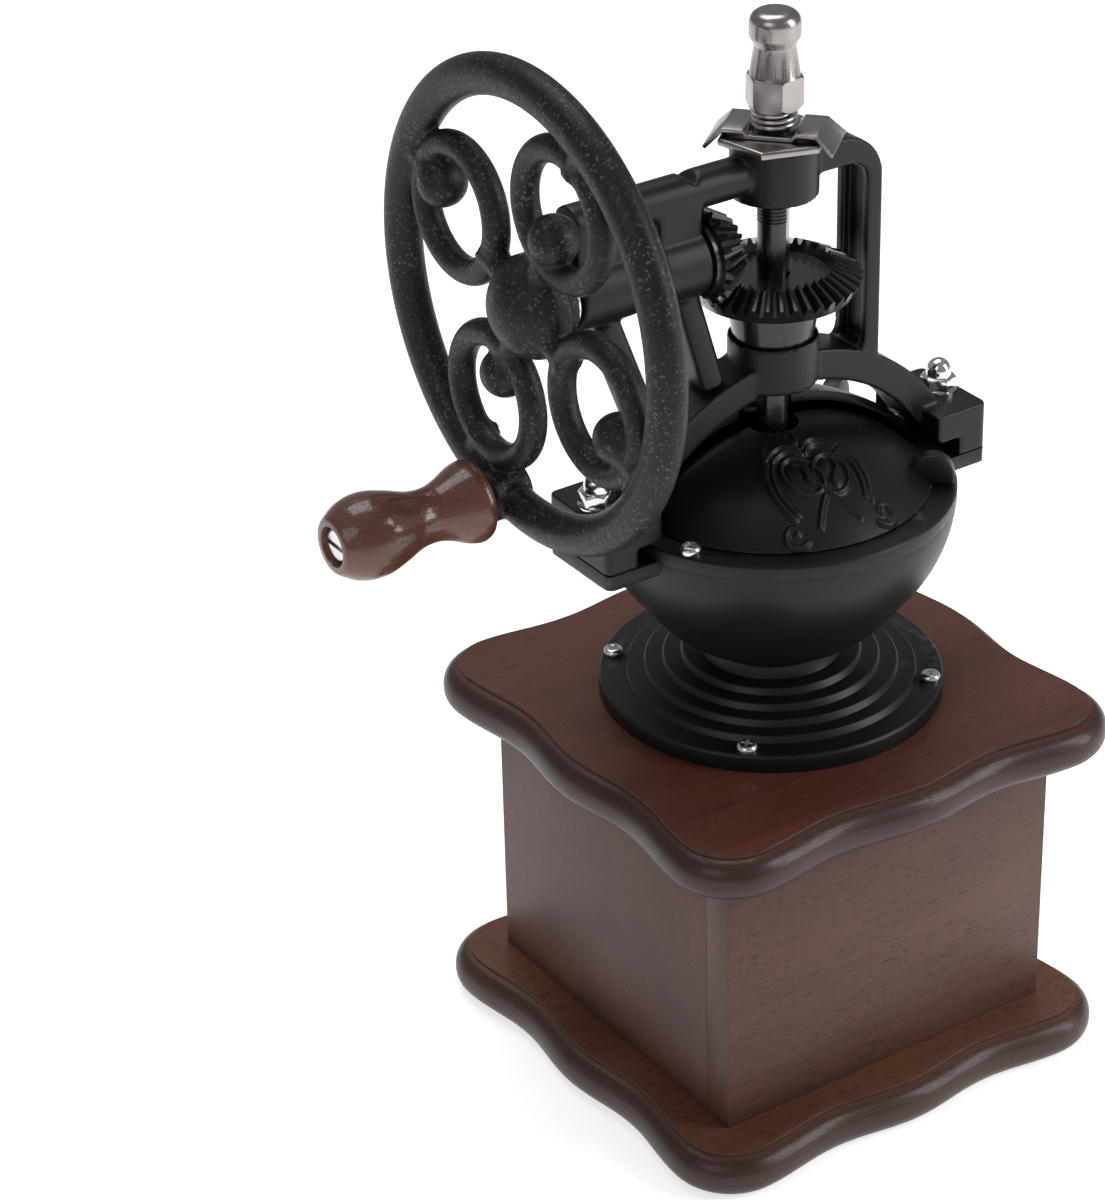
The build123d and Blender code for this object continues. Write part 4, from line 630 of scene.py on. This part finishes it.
def ridge(distance, half_width, height):
    """Rounded raised line."""
    t = np.clip(1 - distance / half_width, 0, 1)
    return height * t * t * (3 - 2 * t)


def bean_outline(centre, size, turn):
    points = []
    for k in range(33):
        a = 2 * math.pi * k / 32
        x, y = size[0] * math.cos(a), size[1] * math.sin(a)
        points.append((centre[0] + x * math.cos(turn) - y * math.sin(turn),
                       centre[1] + x * math.sin(turn) + y * math.cos(turn)))
    return points


def curve_points(start, bend, end, steps=12):
    """Points of a simple curve pulled towards a bend point."""
    out = []
    for k in range(steps + 1):
        t = k / steps
        x = start[0] * (1 - t) ** 2 + bend[0] * 2 * t * (1 - t) + end[0] * t * t
        y = start[1] * (1 - t) ** 2 + bend[1] * 2 * t * (1 - t) + end[1] * t * t
        out.append((x, y))
    return out


def scroll(centre, r0, r1, start_deg, sweep_deg):
    """Spiral from radius r0 to r1."""
    out = []
    for k in range(21):
        t = k / 20
        a = math.radians(start_deg + sweep_deg * t)
        r = r0 + (r1 - r0) * t
        out.append((centre[0] + r * math.cos(a), centre[1] + r * math.sin(a)))
    return out


def emblem_height(p):
    """Relief of two coffee beans between curling leaves, in millimetres; p is in millimetres."""
    total = np.zeros(len(p))
    for centre, turn in (((-3.4, 0.6), 0.25), ((3.6, -0.6), -0.3)):
        local = p - np.array(centre)
        c, s = math.cos(-turn), math.sin(-turn)
        x, y = local[:, 0] * c - local[:, 1] * s, local[:, 0] * s + local[:, 1] * c
        inside = np.clip(1 - (x / 3.5) ** 2 - (y / 5.2) ** 2, 0, 1)
        total = np.maximum(total, 1.0 * np.sqrt(inside))
        crease = np.abs(x - 0.7 * np.sin(y * 0.75))
        total -= np.where(inside > 0.04, ridge(crease, 0.95, 0.9), 0)
        rim = line_distance(p, bean_outline(centre, (4.4, 6.1), turn))
        total = np.maximum(total, ridge(rim, 1.05, 0.95))
    for side in (-1, 1):
        lines = [
            curve_points((side * 0.6, -6.4), (side * 3.0, -9.0), (side * 5.4, -13.0)),
            curve_points((side * 8.6, 6.0), (side * 12.6, 0.5), (side * 9.2, -8.6)),
            curve_points((side * 9.6, 7.0), (side * 14.4, 0.5), (side * 10.4, -9.4)),
            curve_points((side * 0.5, 7.0), (side * 3.4, 11.4), (side * 8.2, 7.2)),
            curve_points((side * 0.5, 8.8), (side * 4.0, 14.0), (side * 9.4, 8.4)),
            scroll((side * 12.0, -12.4), 0.6, 3.4, 200 if side > 0 else -20, side * -330),
        ]
        for points in lines:
            total = np.maximum(total, ridge(line_distance(p, points), 1.15, 1.0))
    bud = curve_points((0, 11.0), (-1.4, 13.5), (0, 16.5)) + curve_points((0, 16.5), (1.4, 13.5), (0, 11.0))
    return np.maximum(total, ridge(line_distance(p, bud), 1.05, 0.95))


def door_tab(centre_r, base_z):
    """Half-round thumb tab standing across the door's rim."""
    outline = [(-TAB_R, -TAB_FOOT), (TAB_R, -TAB_FOOT)] + arc((0, 0), TAB_R, 0, 180, 24)
    bm = bmesh.new()
    front = [bm.verts.new((x, -TAB_T / 2, z)) for x, z in outline]
    back = [bm.verts.new((x, TAB_T / 2, z)) for x, z in outline]
    bm.faces.new(front)
    bm.faces.new(back[::-1])
    for i in range(len(front)):
        j = (i + 1) % len(front)
        bm.faces.new((front[i], front[j], back[j], back[i]))
    tab = from_bmesh("tab", bm)
    tab.matrix_world = Matrix.Translation((centre_r, 0, base_z))
    return tab


def hopper_door():
    """Spherical door with its raised emblem, its thumb tab and a notch round the spindle."""
    low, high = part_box("hopper_door")
    rim_r = high.x
    centre_z = low.z - math.sqrt(DOME_R**2 - rim_r**2)
    rho = np.linspace(DOOR_NOTCH_R, rim_r, 116)
    angle = np.linspace(-DOOR_SPAN, DOOR_SPAN, 420)
    grid_r, grid_a = np.meshgrid(rho, angle, indexing="ij")
    x, y = grid_r * np.sin(grid_a), -grid_r * np.cos(grid_a)
    flat = np.stack([x.ravel(), y.ravel()], axis=1)
    local = (flat - np.array(EMBLEM_AT)) / MM
    c, s = math.cos(-EMBLEM_TURN), math.sin(-EMBLEM_TURN)
    slope = math.sqrt(1 - (math.hypot(*EMBLEM_AT) / DOME_R) ** 2)
    local = np.stack([local[:, 0] * c - local[:, 1] * s, (local[:, 0] * s + local[:, 1] * c) / slope], axis=1)
    raised = emblem_height(local).reshape(x.shape) * MM
    sheets = []
    for radius, relief in ((DOME_R, raised), (DOME_R - DOOR_T, 0 * raised)):
        share = radius / DOME_R
        px, py = x * share, y * share
        height = np.sqrt(np.maximum(radius**2 - px**2 - py**2, 0))
        grow = (radius + relief) / radius
        z = np.maximum(centre_z + height * grow, low.z)
        sheets.append(np.stack([px * grow, py * grow, z], axis=-1))
    rows, columns = x.shape
    verts = np.concatenate([sheet.reshape(-1, 3) for sheet in sheets])
    faces = []
    half = rows * columns
    for i in range(rows - 1):
        for j in range(columns - 1):
            a, b = i * columns + j, (i + 1) * columns + j
            faces.append((a, b, b + 1, a + 1))
            faces.append((half + a, half + a + 1, half + b + 1, half + b))
    border = [j for j in range(columns)]
    border += [i * columns + columns - 1 for i in range(1, rows)]
    border += [(rows - 1) * columns + j for j in range(columns - 2, -1, -1)]
    border += [i * columns for i in range(rows - 2, 0, -1)]
    for a, b in zip(border, border[1:] + border[:1]):
        faces.append((a, b, half + b, half + a))
    door = new_object("hopper_door_finished", verts, faces)
    bm = bmesh.new()
    bm.from_mesh(door.data)
    bmesh.ops.recalc_face_normals(bm, faces=bm.faces)
    bm.to_mesh(door.data)
    bm.free()
    smooth(door, 50.0)
    stand_for(door, "hopper_door")
    tab = door_tab(TAB_AT_R, low.z + TAB_UP)
    tab.matrix_world = Matrix.Rotation(TAB_TURN, 4, "Z") @ tab.matrix_world
    tab = cast("hopper_door_tab", tab, 0.3 * MM, 4)
    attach(tab, "door")
    dress(tab, "satin_black")


def bowl_pieces():
    softened("hopper_bowl", width=0.25 * MM)
    softened("hopper_cover", width=0.25 * MM)
    hopper_door()
    for node in ("flange_screws", "cover_screws", "ear_bolts", "acorn_nuts"):
        softened(node, width=0.15 * MM)


# ------------------------------------------------------------------ yoke
def yoke():
    mesh = NODES["yoke"].data.copy()
    obj = bpy.data.objects.new("yoke_copy", mesh)
    bpy.context.scene.collection.objects.link(obj)
    cast("yoke_casting", obj, 0.5 * MM, 5)
    stand_for(obj, "yoke")


# ------------------------------------------------------------------ wheel and handle
RIM_HALF_W = 5.0 * MM
RIM_HALF_D = 4.5 * MM
LOOP_R = 15.3 * MM
LOOP_AT_R = 31.8 * MM
LOOP_BAR_R = 3.4 * MM
LOOP_ANGLES = (28, 118, 208, 298)
BALL_SIDE = (1, -1, 1, -1)
BALL_R = 6.1 * MM
BALL_OFFSET = 8.4 * MM
HUB_R = 12.5 * MM
HUB_NECK_R = 9 * MM
HUB_DISC_T = 4 * MM
HUB_BORE_R = 4.1 * MM
MID_BEHIND_FRONT = 9.38 * MM
SPOKE_R = 3.4 * MM
BALL_STEM_R = 2.6 * MM
SPOKE_SINK = 2 * MM
HANDLE_BOSS = ((0, 0), (6.0, 0), (6.6, 0.6), (6.6, 10.4), (5.8, 11), (0, 11))


def wheel_spot(centre, r, angle):
    a = math.radians(angle)
    return centre + Vector((0, r * math.cos(a), r * math.sin(a)))


def oval_ring(centre, mid_r, half_d, half_w):
    """Ring about X with an oval bar."""
    profile = []
    for k in range(28):
        a = 2 * math.pi * k / 28
        profile.append((mid_r + half_w * math.sin(a), half_d * math.cos(a)))
    return lathe("ring", profile, centre, "X", 200)


def ball(centre, r):
    return lathe("ball", arc((0, 0), r, -90, 90, 24), centre, "X", 48)


def radial_bar(centre, angle, r0, r1, bar_r, flare=1.0):
    """Round bar along a radius of the wheel, wider at both ends by flare."""
    length = r1 - r0
    profile = [(0, 0)]
    for k in range(9):
        t = k / 8
        profile.append((bar_r * (1 + (flare - 1) * (2 * t - 1) ** 2), length * t))
    profile.append((0, length))
    bar = lathe("bar", profile, (0, 0, 0), "Z", 32)
    spot = wheel_spot(centre, r0, angle)
    bar.matrix_world = Matrix.Translation(spot) @ Matrix.Rotation(math.radians(angle - 90), 4, "X")
    return bar


def wheel():
    low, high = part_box("wheel")
    rim_outer = (high.z - low.z) / 2
    rim_mid = rim_outer - RIM_HALF_W + 0.05 * MM
    front_x, back_x = low.x, high.x
    x = front_x + MID_BEHIND_FRONT
    centre = Vector((x, (low.y + high.y) / 2, high.z - rim_outer))
    parts = [oval_ring(centre, rim_mid, RIM_HALF_D, RIM_HALF_W)]
    for angle, side in zip(LOOP_ANGLES, BALL_SIDE):
        parts.append(oval_ring(wheel_spot(centre, LOOP_AT_R, angle), LOOP_R, LOOP_BAR_R, LOOP_BAR_R))
        ball_at = LOOP_AT_R + side * BALL_OFFSET
        parts.append(ball(wheel_spot(centre, ball_at, angle), BALL_R))
        inner, outer = sorted((ball_at, LOOP_AT_R + side * LOOP_R))
        parts.append(radial_bar(centre, angle, inner, outer, BALL_STEM_R, 1.3))
        loop_near, loop_far = LOOP_AT_R - LOOP_R + SPOKE_SINK, LOOP_AT_R + LOOP_R - SPOKE_SINK
        parts.append(radial_bar(centre, angle, loop_far, rim_mid, SPOKE_R, 1.25))
        parts.append(radial_bar(centre, angle, HUB_R - 4 * MM, loop_near, SPOKE_R, 1.2))
    depth = x - front_x
    dome_r = (HUB_R**2 + depth**2) / (2 * depth)
    reach = math.degrees(math.asin(HUB_R / dome_r))
    dome = [(dome_r * math.sin(math.radians(t)), dome_r * (1 - math.cos(math.radians(t))) - depth)
            for t in np.linspace(0, reach, 16)]
    hub = dome + [(HUB_R, HUB_DISC_T), (HUB_NECK_R, HUB_DISC_T), (HUB_NECK_R, back_x - x)]
    hub += [(HUB_BORE_R, back_x - x), (HUB_BORE_R, 0.0), (0, 0.0)]
    parts.append(lathe("hub", hub, centre, "X", 96))
    handle_low, handle_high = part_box("handle_washer")
    pin = (handle_low + handle_high) / 2
    boss = [(r * MM, h * MM) for r, h in HANDLE_BOSS]
    parts.append(lathe("boss", boss, (handle_high.x, pin.y, pin.z), "X", 64))
    obj = cast("wheel_casting", joined("wheel_casting", parts), 0.5 * MM, 6)
    stand_for(obj, "wheel")


GRIP_SHAPE = ((1.00, 9.0), (0.985, 9.8), (0.94, 10.2), (0.87, 9.5), (0.76, 7.6), (0.66, 6.75), (0.55, 7.2),
              (0.42, 9.0), (0.30, 10.3), (0.20, 10.4), (0.11, 9.5), (0.04, 7.9), (0.01, 7.0), (0.0, 6.4))
GRIP_BORE_R = 2.6 * MM
GRIP_CUP_R = 4.8 * MM


def handle():
    low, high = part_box("handle_grip")
    centre = (0, (low.y + high.y) / 2, (low.z + high.z) / 2)
    x0, length = low.x, high.x - low.x
    outside = smooth_line([(r * MM, x0 + length * at) for at, r in GRIP_SHAPE], 6)
    pocket = x0 + 4.0 * MM
    inside = [(5.0 * MM, x0), (GRIP_CUP_R, x0 + 0.3 * MM), (GRIP_CUP_R, pocket)]
    inside += [(GRIP_BORE_R, pocket), (GRIP_BORE_R, high.x)]
    grip = lathe("handle_grip_finished", outside + inside, centre, "X", 96)
    stand_for(grip, "handle_grip")
    softened("handle_bolt", width=0.2 * MM)


def smooth_line(points, steps):
    """Smooth curve through points, by a Catmull-Rom spline."""
    out = []
    padded = [points[0]] + list(points) + [points[-1]]
    for k in range(len(points) - 1):
        p0, p1, p2, p3 = (np.array(q) for q in padded[k:k + 4])
        for t in np.linspace(0, 1, steps, endpoint=False):
            q = p1 * 2 + (p2 - p0) * t + (p0 * 2 - p1 * 5 + p2 * 4 - p3) * t**2
            out.append(tuple((q + (p1 * 3 - p0 - p2 * 3 + p3) * t**3) / 2))
    out.append(tuple(points[-1]))
    return out


# ------------------------------------------------------------------ spindle and top stack
FLAT_ANGLE = math.radians(-49)
FLAT_AT = 3.4 * MM
FLAT_TOP_Z = 0.2560
THREAD_Z = (0.2275, 0.2335)
THREAD_PITCH = 0.9 * MM
THREAD_DEPTH = 0.28 * MM
FLAT_LEVELS_Z = 0.2150
SPINDLE_CHAMFER = 0.5 * MM
WIRE_R = 0.55 * MM
COIL_TURNS = 2.75


def spindle():
    """Ground shaft with a short thread under the top boss and a flat on one side."""
    low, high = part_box("spindle")
    r = high.x
    z, root = THREAD_Z[0], r - THREAD_DEPTH
    thread = []
    while z < THREAD_Z[1]:
        thread += [(r, z), (r, z + THREAD_PITCH * 0.3)]
        thread += [(root, z + THREAD_PITCH * 0.55), (root, z + THREAD_PITCH * 0.7)]
        z += THREAD_PITCH
    levels = [low.z + SPINDLE_CHAMFER] + [FLAT_LEVELS_Z + 0.001 * k for k in range(12)]
    middle = sorted({*thread, (r, z)} | {(r, level) for level in levels}, key=lambda q: q[1])
    end_r = r - SPINDLE_CHAMFER
    profile = [(0, low.z), (end_r, low.z)] + middle + [(end_r, high.z), (0, high.z)]
    obj = lathe("spindle_finished", profile, segments=96)
    way = Vector((math.cos(FLAT_ANGLE), math.sin(FLAT_ANGLE), 0))
    flat_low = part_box("bevel_gear")[1].z - 0.004
    for v in obj.data.vertices:
        over = v.co.dot(way) - FLAT_AT
        if over > 0 and flat_low < v.co.z < FLAT_TOP_Z:
            v.co -= way * over
    smooth(obj, 30.0)
    stand_for(obj, "spindle")


def lock_spring():
    """Coil of round wire."""
    low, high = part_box("lock_spring")
    wire_r, coil_r = WIRE_R, high.x - WIRE_R
    steps, around = 160, 14
    rise = high.z - low.z - 2 * wire_r
    rings = []
    for k in range(steps + 1):
        a = 2 * math.pi * COIL_TURNS * k / steps
        out = Vector((math.cos(a), math.sin(a), 0))
        mid = out * coil_r + Vector((0, 0, low.z + wire_r + rise * k / steps))
        thin = wire_r * min(1.0, 0.35 + min(k, steps - k) * 0.2)
        ring = []
        for i in range(around):
            b = 2 * math.pi * i / around
            ring.append(mid + out * math.cos(b) * thin + Vector((0, 0, 1)) * math.sin(b) * thin)
        rings.append(ring)
    bm = bmesh.new()
    rows = [[bm.verts.new(p) for p in ring] for ring in rings]
    for here, there in zip(rows, rows[1:]):
        for i in range(around):
            j = (i + 1) % around
            bm.faces.new((here[i], here[j], there[j], there[i]))
    bm.faces.new(rows[0])
    bm.faces.new(rows[-1])
    coil = from_bmesh("lock_spring_coil", bm, 60.0)
    stand_for(coil, "lock_spring")
    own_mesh(coil)


def top_stack():
    spindle()
    lock_spring()
    for node in ("adjusting_nut", "lock_plate"):
        softened(node, width=0.22 * MM)
    softened("cap_nut", width=0.25 * MM, angle=25.0)


# ------------------------------------------------------------------ the whole object
dress_cad_nodes()
case_pieces()
bowl_pieces()
yoke()
wheel()
handle()
top_stack()
add_camera()
add_studio()
